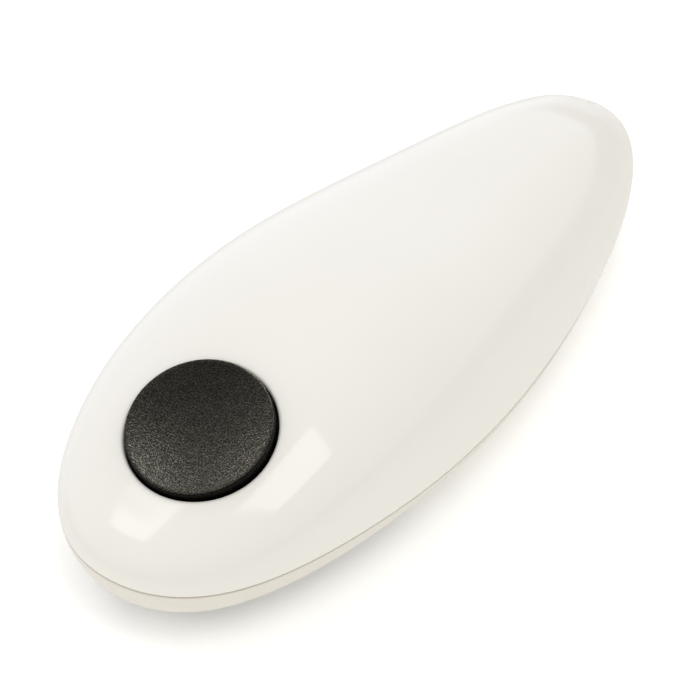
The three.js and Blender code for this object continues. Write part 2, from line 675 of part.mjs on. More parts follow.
function driveSpindle() {
  const top = TOP_PLATE[1] - 0.2;
  const shoulder = DRIVE_LEVEL[1] + 0.6;
  return turned([
    [0, WHEEL_FACE[0] - 0.4],
    [SPINDLE_RADIUS - 0.4, WHEEL_FACE[0] - 0.4],
    [SPINDLE_RADIUS, WHEEL_FACE[0]],
    [SPINDLE_RADIUS, shoulder],
    [1.5, shoulder],
    [1.5, top],
    [0, top],
  ], 16).translate([DRIVE_AXIS.x, DRIVE_AXIS.y, 0]);
}

// Hardened wheel with fine straight teeth that grips the inside of a can's rim.
function driveWheel() {
  const teeth = 26;
  const points = [];
  for (let k = 0; k < teeth; k++) {
    const angle = (2 * Math.PI * k) / teeth;
    const half = Math.PI / teeth;
    [[DRIVE_WHEEL_RADIUS, angle], [DRIVE_WHEEL_RADIUS - 0.55, angle + half]].forEach(([radius, turn]) => {
      points.push([DRIVE_AXIS.x + radius * Math.cos(turn), DRIVE_AXIS.y + radius * Math.sin(turn)]);
    });
  }
  return cut(slab(points, WHEEL_FACE), post(DRIVE_AXIS, SPINDLE_RADIUS + PRESS_FIT, [0, 10], 16));
}

// Flanged bearing bush pressed into a plate.
function bush(centre, bore, outer, [low, high], segments = 20) {
  return cut(post(centre, outer, [low, high], segments), post(centre, bore, [low - 1, high + 1], segments));
}

function cutterCarrier() {
  const top = TRANSFER_LEVEL[1] + 2;
  const body = turned([
    [0, CARRIER_DISC[0]],
    [9.1, CARRIER_DISC[0]],
    [9.5, CARRIER_DISC[0] + 0.4],
    [9.5, CARRIER_DISC[1]],
    [SPINDLE_RADIUS, CARRIER_DISC[1]],
    [SPINDLE_RADIUS, top - 1.1],
    [SPINDLE_RADIUS - 0.6, top - 1.1],
    [SPINDLE_RADIUS - 0.6, top - 0.4],
    [SPINDLE_RADIUS, top - 0.4],
    [SPINDLE_RADIUS, top],
    [0, top],
  ], 24).translate([CARRIER_AXIS.x, CARRIER_AXIS.y, 0]);
  return cut(body, post([CARRIER_AXIS.x - ECCENTRICITY, 0], 1.7, [0, CARRIER_DISC[0] + 1.6], 12));
}

// Circular blade, bevelled on both sides.
function cutterWheel() {
  const blade = turned([
    [0, 2.2],
    [CUTTER_RADIUS - 1.6, 2.2],
    [CUTTER_RADIUS, 2.85],
    [CUTTER_RADIUS - 1.6, 3.5],
    [0, 3.5],
  ], 36).translate([CARRIER_AXIS.x - ECCENTRICITY, 0, 0]);
  return cut(blade, post([CARRIER_AXIS.x - ECCENTRICITY, 0], 1.65, [0, 10], 16));
}

const cutterRivet = () => turned([
  [0, 1.1],
  [2.2, 1.1],
  [2.6, 1.5],
  [2.6, 1.9],
  [1.5, 1.9],
  [1.5, 5.9],
  [0, 5.9],
], 16).translate([CARRIER_AXIS.x - ECCENTRICITY, 0, 0]);

const cutterSpacer = () => bush(
  new THREE.Vector2(CARRIER_AXIS.x - ECCENTRICITY, 0),
  1.7,
  3.2,
  [3.7, CARRIER_DISC[0] - 0.2],
  16,
);

// Three-wave spring washer that lets the carrier gear slip once the carrier is on its stop.
function clutchWasher() {
  const [low, high] = [TRANSFER_LEVEL[1] + 0.1, TRANSFER_LEVEL[1] + 0.9];
  const [inner, outer] = [SPINDLE_RADIUS + 0.3, 4.6];
  const steps = 24;
  const section = [[inner, 0], [outer, 0], [outer, 0.3], [inner, 0.3]];
  const frames = Array.from({ length: steps }, (_, k) => ([radius, up]) => {
    const angle = (2 * Math.PI * k) / (steps + 0.5);
    const wave = low + ((high - low - 0.3) * (1 + Math.cos(3 * angle))) / 2;
    return new THREE.Vector3(
      CARRIER_AXIS.x + radius * Math.cos(angle),
      CARRIER_AXIS.y + radius * Math.sin(angle),
      wave + up,
    );
  });
  return sweep(section, frames);
}

// Open retaining ring in the groove at the top of the carrier's stem.
function carrierClip() {
  const level = [TRANSFER_LEVEL[1] + 1.0, TRANSFER_LEVEL[1] + 1.5];
  const opening = Math.PI / 5;
  const points = [
    ...arc(CARRIER_AXIS, 4.2, opening, 2 * Math.PI - opening, 18),
    ...arc(CARRIER_AXIS, SPINDLE_RADIUS - 0.4, 2 * Math.PI - opening, opening, 14),
  ];
  return slab(points, level);
}

// Curved wall round the cutter; the front of the body stands on it.
function cutterGuard() {
  const opening = THREE.MathUtils.degToRad(100);
  const points = [
    ...arc(CARRIER_AXIS, 13.4, opening, 2 * Math.PI - opening, 20),
    ...arc(CARRIER_AXIS, 11.2, 2 * Math.PI - opening, opening, 18),
  ];
  return slab(points, [0, BASE - CLEARANCE]);
}

const magnetAxis = new THREE.Vector2(MAGNET_X, 0);

const magnetHolder = () => cut(
  turned([[0, 2.2], [6, 2.2], [6.8, 3], [6.8, BASE - CLEARANCE], [0, BASE - CLEARANCE]], 28)
    .translate([MAGNET_X, 0, 0]),
  post(magnetAxis, 5.2, [1, 5], 24),
);

const lidMagnet = () => post(magnetAxis, 4.9, [1.6, 4.7], 24);

// ---------------------------------------------------------------- motor

// Round can with two flats.
function motorCan() {
  const { front, length, radius, halfHeight } = MOTOR;
  const span = [front, front + length];
  const axis = [0, MOTOR_AXIS_Z];
  const levels = [MOTOR_AXIS_Z - halfHeight, MOTOR_AXIS_Z + halfHeight];
  const can = rod(span, axis, radius, 32).intersect(box(widened(span, 1), [-20, 20], levels));
  const nose = rod([front - 1.4, front + 0.5], axis, 3, 16);
  const inside = rod([front + 1, front + length + 1], axis, radius - 1, 24)
    .intersect(box([front + 1, front + length + 1], [-20, 20], widened(levels, -1)));
  return cut(can.add(nose), inside, rod([front - 3, front + 3], axis, SHAFT_RADIUS + 0.2, 12));
}

function motorEndCap() {
  const { front, length, capLength, radius, halfHeight } = MOTOR;
  const start = front + length + CLEARANCE;
  const levels = [MOTOR_AXIS_Z - halfHeight, MOTOR_AXIS_Z + halfHeight];
  const span = [start, start + capLength];
  const cap = rod(span, [0, MOTOR_AXIS_Z], radius, 32).intersect(box(widened(span, 1), [-20, 20], levels));
  return cut(cap, rod(widened(span, 1), [0, MOTOR_AXIS_Z], SHAFT_RADIUS + 0.2, 12));
}

const motorShaft = () => rod(SHAFT_SPAN, [0, MOTOR_AXIS_Z], SHAFT_RADIUS, 12);

// Laminated rotor with three poles.
function motorRotor() {
  const span = [MOTOR.front + 4, MOTOR.front + 16];
  const axis = [0, MOTOR_AXIS_Z];
  const slots = Array.from({ length: 3 }, (_, k) => {
    const slot = box(widened(span, 1), [2.6, 7], [-0.9, 0.9]);
    return slot.rotate([120 * k, 0, 0]).translate([0, 0, MOTOR_AXIS_Z]);
  });
  return cut(rod(span, axis, 5.9, 24), ...slots, rod([0, 120], axis, SHAFT_RADIUS + PRESS_FIT, 12));
}

function motorTerminal(side) {
  const capEnd = MOTOR.front + MOTOR.length + CLEARANCE + MOTOR.capLength;
  const levels = [MOTOR_AXIS_Z + 1, MOTOR_AXIS_Z + 5.5];
  return box([capEnd + CLEARANCE, capEnd + 1.3], widened([6 * side, 6 * side], 1), levels);
}

// Moulded cradle on the casing's floor, with a foot each side for the strap's screws.
function motorCradle() {
  const floor = BASE + FLOOR + CLEARANCE;
  const side = MOTOR.radius + CLEARANCE;
  const block = box([76, 90], [-side - 2, side + 2], [floor, MOTOR_AXIS_Z]);
  const feet = box([78, 86], [-STRAP_FOOT, STRAP_FOOT], [floor, floor + 5]);
  const { radius, halfHeight } = MOTOR;
  const pocket = rod([70, 96], [0, MOTOR_AXIS_Z], radius + CLEARANCE, 32)
    .intersect(box([70, 96], [-20, 20], [MOTOR_AXIS_Z - halfHeight - CLEARANCE, 60]));
  const holes = [-1, 1].map((s) => post([82, STRAP_SCREW_Y * s], 1.4, [floor + 1, 40], 12));
  return cut(block.add(feet), pocket, ...holes);
}

// Spring steel strap over the motor.
function motorStrap() {
  const lowest = BASE + FLOOR + 2 * CLEARANCE + 5;
  const top = MOTOR_AXIS_Z + MOTOR.halfHeight + CLEARANCE;
  const side = MOTOR.radius + 2 + 2 * CLEARANCE;
  const span = [79, 85];
  const outside = box(span, [-side - 0.8, side + 0.8], [lowest, top + 0.8]);
  const inside = box(widened(span, 1), [-side, side], [lowest - 1, top]);
  const feet = box(span, [-STRAP_FOOT, STRAP_FOOT], [lowest, lowest + 0.8]);
  const holes = [-1, 1].map((s) => post([82, STRAP_SCREW_Y * s], 1.5, [lowest - 1, lowest + 2], 12));
  return cut(outside.add(feet), inside, ...holes);
}

// ---------------------------------------------------------------- cells and contacts

function cell(side) {
  const { radius, length, nub, nubRadius, y, z, x } = CELL;
  const profile = [
    [0, 0],
    [radius - 0.6, 0],
    [radius, 0.6],
    [radius, length - 0.6],
    [radius - 0.6, length],
    [nubRadius, length],
    [nubRadius, length + nub],
    [0, length + nub],
  ];
  const body = turned(profile, 28).rotate([0, 90, 0]);
  return side > 0 ? body.translate([x, y, z]) : body.rotate([0, 0, 180]).translate([x + length + nub, -y, z]);
}

const CONTACT_LEVEL = [CELL.z - 5.5, CELL.z + 6];
const FRONT_CONTACT_X = COMPARTMENT.start + COMPARTMENT.wall + 0.4;
const REAR_CONTACT_X = COMPARTMENT.end - COMPARTMENT.wall - 0.9;

// Sheet contact at the front for one cell, with a raised pad where it meets a cell's nub.
function frontContact(side, padded) {
  const y = CELL.y * side;
  const plate = box([FRONT_CONTACT_X, FRONT_CONTACT_X + 0.5], [y - 5, y + 5], CONTACT_LEVEL);
  const pad = rod([FRONT_CONTACT_X + 0.3, CELL.x - CLEARANCE], [y, CELL.z], 2.4, 12);
  return padded ? plate.add(pad) : plate;
}

// Sheet contact at the back that links the two cells.
function linkContact() {
  const plate = box([REAR_CONTACT_X, REAR_CONTACT_X + 0.5], [-CELL.y - 5, CELL.y + 5], CONTACT_LEVEL);
  const cellEnd = CELL.x + CELL.length + CELL.nub;
  return plate.add(rod([cellEnd + CLEARANCE, REAR_CONTACT_X + 0.2], [CELL.y, CELL.z], 2.4, 12));
}

// A coned spring on a cell's flat end, pointing along +x or -x.
function contactSpring(x, y, towards) {
  const wire = 0.35;
  const height = 2.3;
  const spring = coil({
    radiusAt: (f) => 4.4 - 2 * f,
    wire,
    bottom: 0,
    top: height,
    turns: 2.5,
  });
  return spring.rotate([0, 90 * towards, 0]).translate([x, y, CELL.z]);
}

// ---------------------------------------------------------------- fasteners and leads

// Slotted pan-head screw, its head's underside at the height z.
function screw([x, y], { headRadius, headHeight, shankRadius, length, z, up }) {
  const turn = up ? 1 : -1;
  const profile = [
    [0, -headHeight],
    [headRadius - 0.4, -headHeight],
    [headRadius, 0],
    [shankRadius, 0],
    [shankRadius, length],
    [0, length],
  ].map(([r, h]) => [r, h * turn]);
  const drive = up ? [-headHeight - 1, -headHeight + 0.8] : [headHeight - 0.8, headHeight + 1];
  const slot = box([-1.6, 1.6], [-0.4, 0.4], drive);
  return cut(turned(profile, 10), slot).translate([x, y, z]);
}

const casingScrew = (at) => screw(at, {
  headRadius: 2.8,
  headHeight: 1.9,
  shankRadius: 1.1,
  length: 10.6,
  z: BASE + 3 - CLEARANCE,
  up: true,
});

const gearboxScrew = (at) => screw(at, {
  headRadius: 2.2,
  headHeight: 1.5,
  shankRadius: 0.95,
  length: 8,
  z: TOP_PLATE[1] + CLEARANCE,
  up: false,
});

const strapScrew = (side) => screw([82, STRAP_SCREW_Y * side], {
  headRadius: 2.2,
  headHeight: 1.5,
  shankRadius: 1.1,
  length: 4.6,
  z: BASE + FLOOR + 3 * CLEARANCE + 5.8,
  up: false,
});

// An insulated lead along a smooth curve through a few points.
function lead(points) {
  const stops = points.map((point) => new THREE.Vector3(...point));
  const path = new THREE.CatmullRomCurve3(stops, false, 'centripetal');
  const section = new THREE.Shape(
    Array.from({ length: 6 }, (_, i) => {
      const angle = (Math.PI * i) / 3;
      return new THREE.Vector2(0.65 * Math.cos(angle), 0.65 * Math.sin(angle));
    }),
  );
  const steps = Math.round(path.getLength() / 4);
  return solid(new THREE.ExtrudeGeometry(section, { steps, extrudePath: path, bevelEnabled: false }));
}

// Routes of the three leads, past the gears and along the motor's side.
const SWITCH_CELL_LEAD = [
  [40.7, 2, 23.6],
  [43.2, 5.5, 20.6],
  [55, 10, 19.6],
  [68, 12.2, 20.5],
  [82, 15.2, 21],
  [93, 14.5, 22],
  [98.5, 12, 21.5],
  [100.2, 11, 19.5],
  [100.2, 11, 15.5],
];
const SWITCH_MOTOR_LEAD = [
  [40.7, -2, 23.6],
  [42.8, -3.6, 21.3],
  [47.5, -1.5, 19.2],
  [51, 4.5, 21.5],
  [58, 8.5, 22.6],
  [68, 12, 23.6],
  [82, 15, 24.8],
  [92, 13, 26.6],
  [96.6, 9.2, 27.4],
  [97.4, 6.6, 26],
];
const MOTOR_CELL_LEAD = [
  [97.3, -6.4, 25.5],
  [98.8, -7.5, 24.6],
  [100.2, -10, 22.5],
  [100.2, -11, 19.5],
  [100.2, -11, 15.5],
];

// ---------------------------------------------------------------- assembly

const assembly = new THREE.Group();
const body = new THREE.Group();
body.position.x = -LENGTH / 2;
assembly.add(body);

function add(name, manifold, material) {
  const mesh = new THREE.Mesh(geometryOf(manifold), material);
  mesh.name = name;
  body.add(mesh);
}

add('top_cover', topCover(), WHITE_GLOSS);
add('lower_casing', lowerCasing(), WHITE_SATIN);
add('battery_door', batteryDoor(), WHITE_SATIN);
CASING_SCREWS.forEach((at, i) => add(`casing_screw_${i + 1}`, casingScrew(at), DARK_STEEL));

add('button_cap', buttonCap(), BLACK_GRAINED);
add('button_spring', buttonSpring(), SPRING_STEEL);
add('button_guide', buttonGuide(), GREY_PLASTIC);
add('switch_body', switchBody(), BLACK_PLASTIC);
add('switch_plunger', switchPlunger(), RED_PLASTIC);
add('switch_terminal_1', switchTerminal(-1), NICKEL);
add('switch_terminal_2', switchTerminal(1), NICKEL);

add('motor_can', motorCan(), NICKEL);
add('motor_end_cap', motorEndCap(), GREY_PLASTIC);
add('motor_shaft', motorShaft(), STEEL);
add('motor_rotor', motorRotor(), DARK_STEEL);
add('motor_terminal_1', motorTerminal(-1), NICKEL);
add('motor_terminal_2', motorTerminal(1), NICKEL);
add('motor_cradle', motorCradle(), GREY_PLASTIC);
add('motor_strap', motorStrap(), STEEL);
add('strap_screw_1', strapScrew(-1), DARK_STEEL);
add('strap_screw_2', strapScrew(1), DARK_STEEL);

add('worm', worm(), BRONZE);
add('worm_gear', wormGear(), NATURAL_ACETAL);
add('worm_gear_axle', post(WORM_GEAR_AXIS, 1, [BASE + 1.3, TOP_PLATE[1] - 0.2], 12), STEEL);
add('stage_gear', stageGear(), NATURAL_ACETAL);
add('stage_gear_axle', post(STAGE_AXIS, 1, [BASE + 1.3, TOP_PLATE[1] - 0.2], 12), STEEL);
add('drive_gear', driveGear(), NATURAL_ACETAL);
add('carrier_gear', carrierGear(), NATURAL_ACETAL);
add('clutch_washer', clutchWasher(), SPRING_STEEL);
add('carrier_clip', carrierClip(), SPRING_STEEL);

add('mechanism_plate', mechanismPlate(), BLACK_PLASTIC);
add('gearbox_top_plate', gearboxTopPlate(), GREY_PLASTIC);
POSTS.forEach((at, i) => add(`gearbox_screw_${i + 1}`, gearboxScrew(at), DARK_STEEL));

add('drive_spindle', driveSpindle(), STEEL);
add('drive_wheel', driveWheel(), STEEL);
add('spindle_bush', bush(DRIVE_AXIS, SPINDLE_RADIUS + 0.1, 4.1, [BASE - 0.8, PLATE_TOP]), BRONZE);
add('carrier_bush', bush(CARRIER_AXIS, SPINDLE_RADIUS + 0.1, 4.1, [BASE, PLATE_TOP]), BRONZE);
add('cutter_carrier', cutterCarrier(), DARK_STEEL);
add('cutter_wheel', cutterWheel(), STEEL);
add('cutter_rivet', cutterRivet(), STEEL);
add('cutter_spacer', cutterSpacer(), STEEL);
add('cutter_guard', cutterGuard(), BLACK_PLASTIC);
add('magnet_holder', magnetHolder(), BLACK_PLASTIC);
add('lid_magnet', lidMagnet(), MAGNET_NICKEL);

add('cell_1', cell(1), CELL_JACKET);
add('cell_2', cell(-1), CELL_JACKET);
add('contact_negative', frontContact(1, false), NICKEL);
add('contact_positive', frontContact(-1, true), NICKEL);
add('contact_link', linkContact(), NICKEL);
add('contact_spring_1', contactSpring(FRONT_CONTACT_X + 0.8, CELL.y, 1), SPRING_STEEL);
add('contact_spring_2', contactSpring(REAR_CONTACT_X - 0.3, -CELL.y, -1), SPRING_STEEL);
add('lead_switch_cell', lead(SWITCH_CELL_LEAD), RED_PLASTIC);
add('lead_switch_motor', lead(SWITCH_MOTOR_LEAD), RED_PLASTIC);
add('lead_motor_cell', lead(MOTOR_CELL_LEAD), BLACK_PLASTIC);

export default assembly;
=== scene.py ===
"""Looks of the electric can opener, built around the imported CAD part.

Shapes are worked out in millimetres by the same formulas as the CAD's: x runs from the blunt end to
the tail tip and z from the table up. `place` then moves each piece into the CAD's frame, in metres.
The stage, lights and camera at the end are in metres.
"""

import json
import math

import bmesh
import bpy
from mathutils import Matrix, Vector
from mathutils.bvhtree import BVHTree
from mathutils.geometry import delaunay_2d_cdt

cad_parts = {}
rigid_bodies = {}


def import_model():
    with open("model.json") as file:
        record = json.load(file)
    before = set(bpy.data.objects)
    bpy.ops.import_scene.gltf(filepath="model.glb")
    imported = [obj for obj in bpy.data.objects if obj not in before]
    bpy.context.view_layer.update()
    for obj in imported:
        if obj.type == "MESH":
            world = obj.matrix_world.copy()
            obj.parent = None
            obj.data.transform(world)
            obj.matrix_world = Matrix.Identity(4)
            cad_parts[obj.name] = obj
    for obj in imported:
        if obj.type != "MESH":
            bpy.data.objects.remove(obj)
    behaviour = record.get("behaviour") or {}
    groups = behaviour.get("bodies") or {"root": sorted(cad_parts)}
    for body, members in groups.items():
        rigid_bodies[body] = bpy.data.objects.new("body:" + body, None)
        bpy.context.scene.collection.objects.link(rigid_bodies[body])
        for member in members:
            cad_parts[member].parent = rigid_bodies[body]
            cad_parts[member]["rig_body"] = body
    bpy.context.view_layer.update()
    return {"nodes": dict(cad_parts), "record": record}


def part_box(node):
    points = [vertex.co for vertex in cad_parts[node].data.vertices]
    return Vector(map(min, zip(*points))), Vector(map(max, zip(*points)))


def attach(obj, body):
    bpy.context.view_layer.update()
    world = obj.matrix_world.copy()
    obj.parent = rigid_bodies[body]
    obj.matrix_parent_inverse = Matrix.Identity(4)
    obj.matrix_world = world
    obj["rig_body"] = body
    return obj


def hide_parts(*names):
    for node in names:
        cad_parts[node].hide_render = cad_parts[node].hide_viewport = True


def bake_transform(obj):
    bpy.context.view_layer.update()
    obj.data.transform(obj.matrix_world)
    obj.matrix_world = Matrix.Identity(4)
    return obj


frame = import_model()

MM = 0.001

# angles in degrees above which an edge between two faces stays sharp
ROUND_PIECE = 50
BOXY_PIECE = 35
CAD_PIECE = 32

# ---------------------------------------------------------------- body shape

LENGTH = 195.0
BASE = 7.0                  # the casing's flat underside, above the table
HALF_WIDTH_TERMS = (41.4, -6.7, -3.4, 0.7, 9.4)  # these three are polynomials in u (see Station)
RIM_HEIGHT_TERMS = (8.9, -7.9, 7.9, 6.0)
CROWN_TERMS = (27.7, -4.5, -12.0, 22.2, 5.9)
CROWN_ROUNDING = (1.2, 1.6)  # this pair and the next: at the blunt end, at the tail tip
SECTION_POWER = (2.7, 2.6)
INNER_CROWN = 0.3           # least height of the cover's inside, as a share of the crown's
SHOULDER_START = -0.9       # u from which the shoulder grows
SHOULDER_INSET = 5.8
SHOULDER_HEIGHT = 1.5
SHOULDER_RISE = 5.0
SHOULDER_LAG = 1.6
TIP_START = 0.86            # u from which the shoulder fades towards the tail tip
TIP_EASE = 0.65
NOSE_DROP = 6.0             # how much lower the rim line is at the rounded blunt end
NOSE_RUN = 0.55
NOSE_ROUNDING = 2.2
NOSE_SINE = 0.5
SIDE_TUCK = 4.7
SEAM_HEIGHT = 10.5          # of the parting line at the blunt end, above the casing's underside
SEAM_RUN = 348.0            # length over which the parting line would come down to the underside
SEAM_GAP = 0.3

COVER_WALL = 2.2
COVER_LIP = ((0.0, COVER_WALL), (0.0, 0.7), (0.04, 0.4), (0.18, 0.16), (0.38, 0.04))  # rise, inset
COVER_LIP_TOP = 0.6         # above this the cover's wall goes straight up to the rim
COVER_ROWS = 6
CASING_FOOT = ((0.0, 1.3), (0.1, 0.82), (0.38, 0.4), (0.82, 0.12))  # height, inset
CASING_FOOT_TOP = 1.4
CASING_LIP = 0.4            # the casing's wall ends this far below its top edge, and curves in
CASING_LIP_EDGE = (0.12, 0.08)  # drop, inset
CASING_LIP_INSET = 0.35
CASING_ROWS = 8
CASING_WALL = 4.0
FLOOR = 2.2
TONGUE_INSET = 2.8
TONGUE_HEIGHT = 2.0

PLATE_INSET = 10.5
MECHANISM_SPAN = (15.0, 73.0)
MOUTH_SPAN = (-1, 4)        # heights cut out for the mechanism plate, from the casing's underside
CASING_SCREWS = ((10.4, 0.0), (84.0, 30.0), (84.0, -30.0), (172.0, 0.0))
SCREW_BOSS = (3.6, 1, 5.6)  # radius, and heights from the casing's underside
SCREW_RECESS = (3.1, -1, 3)
SCREW_BORE = (1.6, 2, 7)

COMPARTMENT = (97.0, 159.6)
COMPARTMENT_HALF_WIDTH = 18.0
COMPARTMENT_WALL = 2.0
COMPARTMENT_TOP = 18.2
COMPARTMENT_CEILING = 16.7
COMPARTMENT_ROUNDING = 0.7
DOOR_THICKNESS = 1.6
DOOR_ROUNDING = 0.35
GROOVES = 5                 # finger grooves across the door
GROOVE_PITCH = 2.4
GROOVE_WIDTH = 1
GROOVE_HALF_LENGTH = 7
GROOVE_SPAN = (-0.6, 0.4)
GROOVE_ROUNDING = 0.28
GROOVES_START = 14          # before the door's end

BUTTON_X = 36.0
BUTTON_RADIUS = 18.0
BUTTON_TILT = math.radians(18.5)
BUTTON_RIM = 1.1            # the button's heights are along its axis, from the body's surface
BUTTON_DISH = 1.2
BUTTON_EDGE = 0.7           # width of the edge outside the dish
BUTTON_EDGE_ROUNDING = 0.62
BUTTON_DRAFT = 0.02
BUTTON_SKIRT_FOOT = -4.4
BUTTON_SKIRT_WALL = 1.6
BUTTON_CEILING = -1.6
BUTTON_POST_RADIUS = 2.6
BUTTON_POST_FOOT = -5.9
FLANGE_WIDTH = 1.3
FLANGE_FOOT = -5.5
FLANGE_ROUNDING = 0.25
DISH_RINGS = 40

HOLE_RADIUS = BUTTON_RADIUS + 0.45
HOLE_LIP = 1.2              # width and height of the hole's rounded edge
HOLE_LIP_LIFT = 0.12        # makes the lip a little fuller
HOLE_LIP_ROWS = 7
HOLE_STEPS = 120
HOLE_ROW_PITCH = 0.75       # between the rings of points round the hole
HOLE_MARGIN = 3.2           # how far past the hole the dome's own faces are replaced
HOLE_REACH = 12             # new points drop onto the dome from this height above it
HOLE_DEPTH = -14            # faces lower than this are left alone

SPRING_RADIUS = 9.0
SPRING_WIRE = 0.35          # half the wire's thickness
SPRING_SPAN = (-7.8, -1.8)  # along the button's axis
SPRING_TURNS = 4
SPRING_FLATNESS = 0.35      # how far the end turns lie flat
SPRING_STEPS = 40           # per turn
WIRE_SIDES = 12

AROUND = 90                 # steps along one side of the body
DOME_ROWS = 30
DOME_CROWDING = 1.25        # the dome's rows stand closer together near the rim
MERGE_DISTANCE = 1e-3


def polynomial(terms, u):
    return sum(term * u**k for k, term in enumerate(terms))


def mix(pair, share):
    return pair[0] + (pair[1] - pair[0]) * share


def smoothed(share):
    return share * share * (3 - 2 * share)


class Station:
    """The body's measures at the angle t, from 0 at the blunt end to pi at the tail tip.

    u runs from -1 to 1 on the way. Heights are above the casing's underside.
    """

    def __init__(self, t):
        u = -math.cos(t)
        along = (1 + u) / 2
        sine = max(math.sin(t), 0.0)
        self.x = LENGTH * along
        self.half_width = sine * polynomial(HALF_WIDTH_TERMS, u)
        drop = NOSE_DROP * (1 - smoothed(min((1 + u) / NOSE_RUN, 1.0)))
        regained = 1 - (1 - min(sine / NOSE_SINE, 1.0)) ** NOSE_ROUNDING
        self.rim = polynomial(RIM_HEIGHT_TERMS, u) - drop
        rounding = mix(CROWN_ROUNDING, smoothed(along))
        self.crown = sine**rounding * polynomial(CROWN_TERMS, u) + drop * regained
        fade = TIP_EASE * smoothed(max((u - TIP_START) / (1 - TIP_START), 0.0))
        self.shoulder = (1 - fade) * smoothed(max((u - SHOULDER_START) / (1 - SHOULDER_START), 0.0))
        self.power = mix(SECTION_POWER, along)
        self.seam = SEAM_HEIGHT * (1 - self.x / SEAM_RUN)
        self.inner_rim = (self.rim + self.seam) / 2


def station_at(x):
    return Station(math.acos(max(min(1 - 2 * x / LENGTH, 1.0), -1.0)))


def outline(t, side, inset):
    """A point of the plan outline, moved in by a distance square to it."""
    step = 1e-4
    at = Station(t)
    before, after = Station(max(t - step, 0)), Station(min(t + step, math.pi))
    run = Vector((after.x - before.x, after.half_width - before.half_width)).normalized()
    inward = (run.y, -run.x)
    if t < step or t > math.pi - step:
        inward = (1 if t < step else -1, 0)
    return at.x + inward[0] * inset, side * max(at.half_width + inward[1] * inset, 0.0)


def ring(point_at):
    """A closed loop round the body: from the blunt end along the -y side to the tail, and back."""
    points = []
    for i in range(2 * AROUND):
        side = -1 if i < AROUND else 1
        turn = i if i < AROUND else 2 * AROUND - i
        points.append(Vector(point_at(math.pi * turn / AROUND, side)))
    return points


def wall_ring(height_at, inset):
    """A loop on the side wall, which tucks in below the rim; `height_at` takes a station."""

    def point(t, side):
        at = Station(t)
        height = height_at(at)
        tuck = SIDE_TUCK * max(1 - height / at.rim, 0.0) ** 2
        x, y = outline(t, side, tuck + inset)
        return x, y, BASE + height

    return ring(point)


def dome_ring(share, depth):
    """A loop of the dome, from the rim at share 0 to the ridge at 1, moved in by a wall's depth."""

    def point(t, side):
        at = Station(t)
        across = math.cos(math.pi / 2 * share)
        lift = (1 - across**at.power) ** (1 / at.power)
        rise = 1 - (1 - share) ** SHOULDER_RISE
        step = SHOULDER_INSET * at.shoulder * rise**SHOULDER_LAG
        foot = at.inner_rim if depth > 0 else at.rim
        above = station_at(outline(t, side, depth)[0]) if depth > 0 else at
        top = max(above.rim + above.crown - depth, foot + INNER_CROWN * at.crown)
        x, y = outline(t, side, depth + step)
        height = foot + SHOULDER_HEIGHT * at.shoulder * rise + (top - foot) * lift
        return x, y * across, BASE + height

    return ring(point)


def dome_rings(depth):
    return [dome_ring((k / DOME_ROWS) ** DOME_CROWDING, depth) for k in range(DOME_ROWS + 1)]


def crown_at(x):
    at = station_at(x)
    return BASE + at.rim + at.crown


def button_frame():
    """Local z runs out of the body along the button's travel; local 0 is on the body's surface."""
    origin = Matrix.Translation((BUTTON_X, 0, crown_at(BUTTON_X)))
    return origin @ Matrix.Rotation(-BUTTON_TILT, 4, "Y")


# ---------------------------------------------------------------- mesh helpers

TO_FRAME = Matrix.Scale(MM, 4) @ Matrix.Translation((-LENGTH / 2, 0, 0))


def join_loops(bm, low, high):
    """Adds the faces between two closed loops of vertices."""
    count = len(low)
    for i in range(count):
        j = (i + 1) % count
        bm.faces.new((low[i], low[j], high[j], high[i]))


def add_rings(bm, rings):
    """Adds loops of points and the faces between them; returns the loops' vertices."""
    loops = [[bm.verts.new(point) for point in points] for points in rings]
    for low, high in zip(loops, loops[1:]):
        join_loops(bm, low, high)
    return loops


def clean(bm, distance=MERGE_DISTANCE):
    bmesh.ops.remove_doubles(bm, verts=bm.verts, dist=distance)
    bmesh.ops.dissolve_degenerate(bm, edges=bm.edges, dist=distance / 10)


def add_object(bm, name):
    mesh = bpy.data.meshes.new(name)
    bm.to_mesh(mesh)
    bm.free()
    piece = bpy.data.objects.new(name, mesh)
    bpy.context.scene.collection.objects.link(piece)
    return piece


def place(bm, name, smooth_angle):
    """Turns a mesh in millimetres into an object in the CAD's frame."""
    bmesh.ops.transform(bm, matrix=TO_FRAME, verts=bm.verts)
    piece = add_object(bm, name)
    set_smooth_by_angle(piece.data, smooth_angle)
    return piece


def finish_piece(piece, body, material, nodes):
    piece.data.materials.append(material)
    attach(piece, body)
    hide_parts(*nodes)


def lathe(profile, steps):
    """A shape turned about the z axis, from (radius, height) pairs that start and end on it."""
    bm = bmesh.new()
    rings = []
    for radius, height in profile:
        turns = [2 * math.pi * i / steps for i in range(steps)]
        rings.append([Vector((radius * math.cos(a), radius * math.sin(a), height)) for a in turns])
    add_rings(bm, rings)
    clean(bm, 1e-5)
    return bm


def curve(start, control, end, share):
    """A point of a quadratic curve."""
    return start * (1 - share) ** 2 + control * 2 * share * (1 - share) + end * share**2


def rounded(points, radius, steps):
    """Rounds the corners of a (radius, height) profile; the first and last points stay."""
    reach = 0.48            # just under half, so that two corners on one edge don't meet
    out = [points[0]]
    for before, corner, after in zip(points, points[1:], points[2:]):
        b, c, a = Vector(before), Vector(corner), Vector(after)
        size = min(radius, (b - c).length * reach, (a - c).length * reach)
        start, end = c + (b - c).normalized() * size, c + (a - c).normalized() * size
        for k in range(steps + 1):
            out.append(tuple(curve(start, c, end, k / steps)))
    out.append(points[-1])
    return out


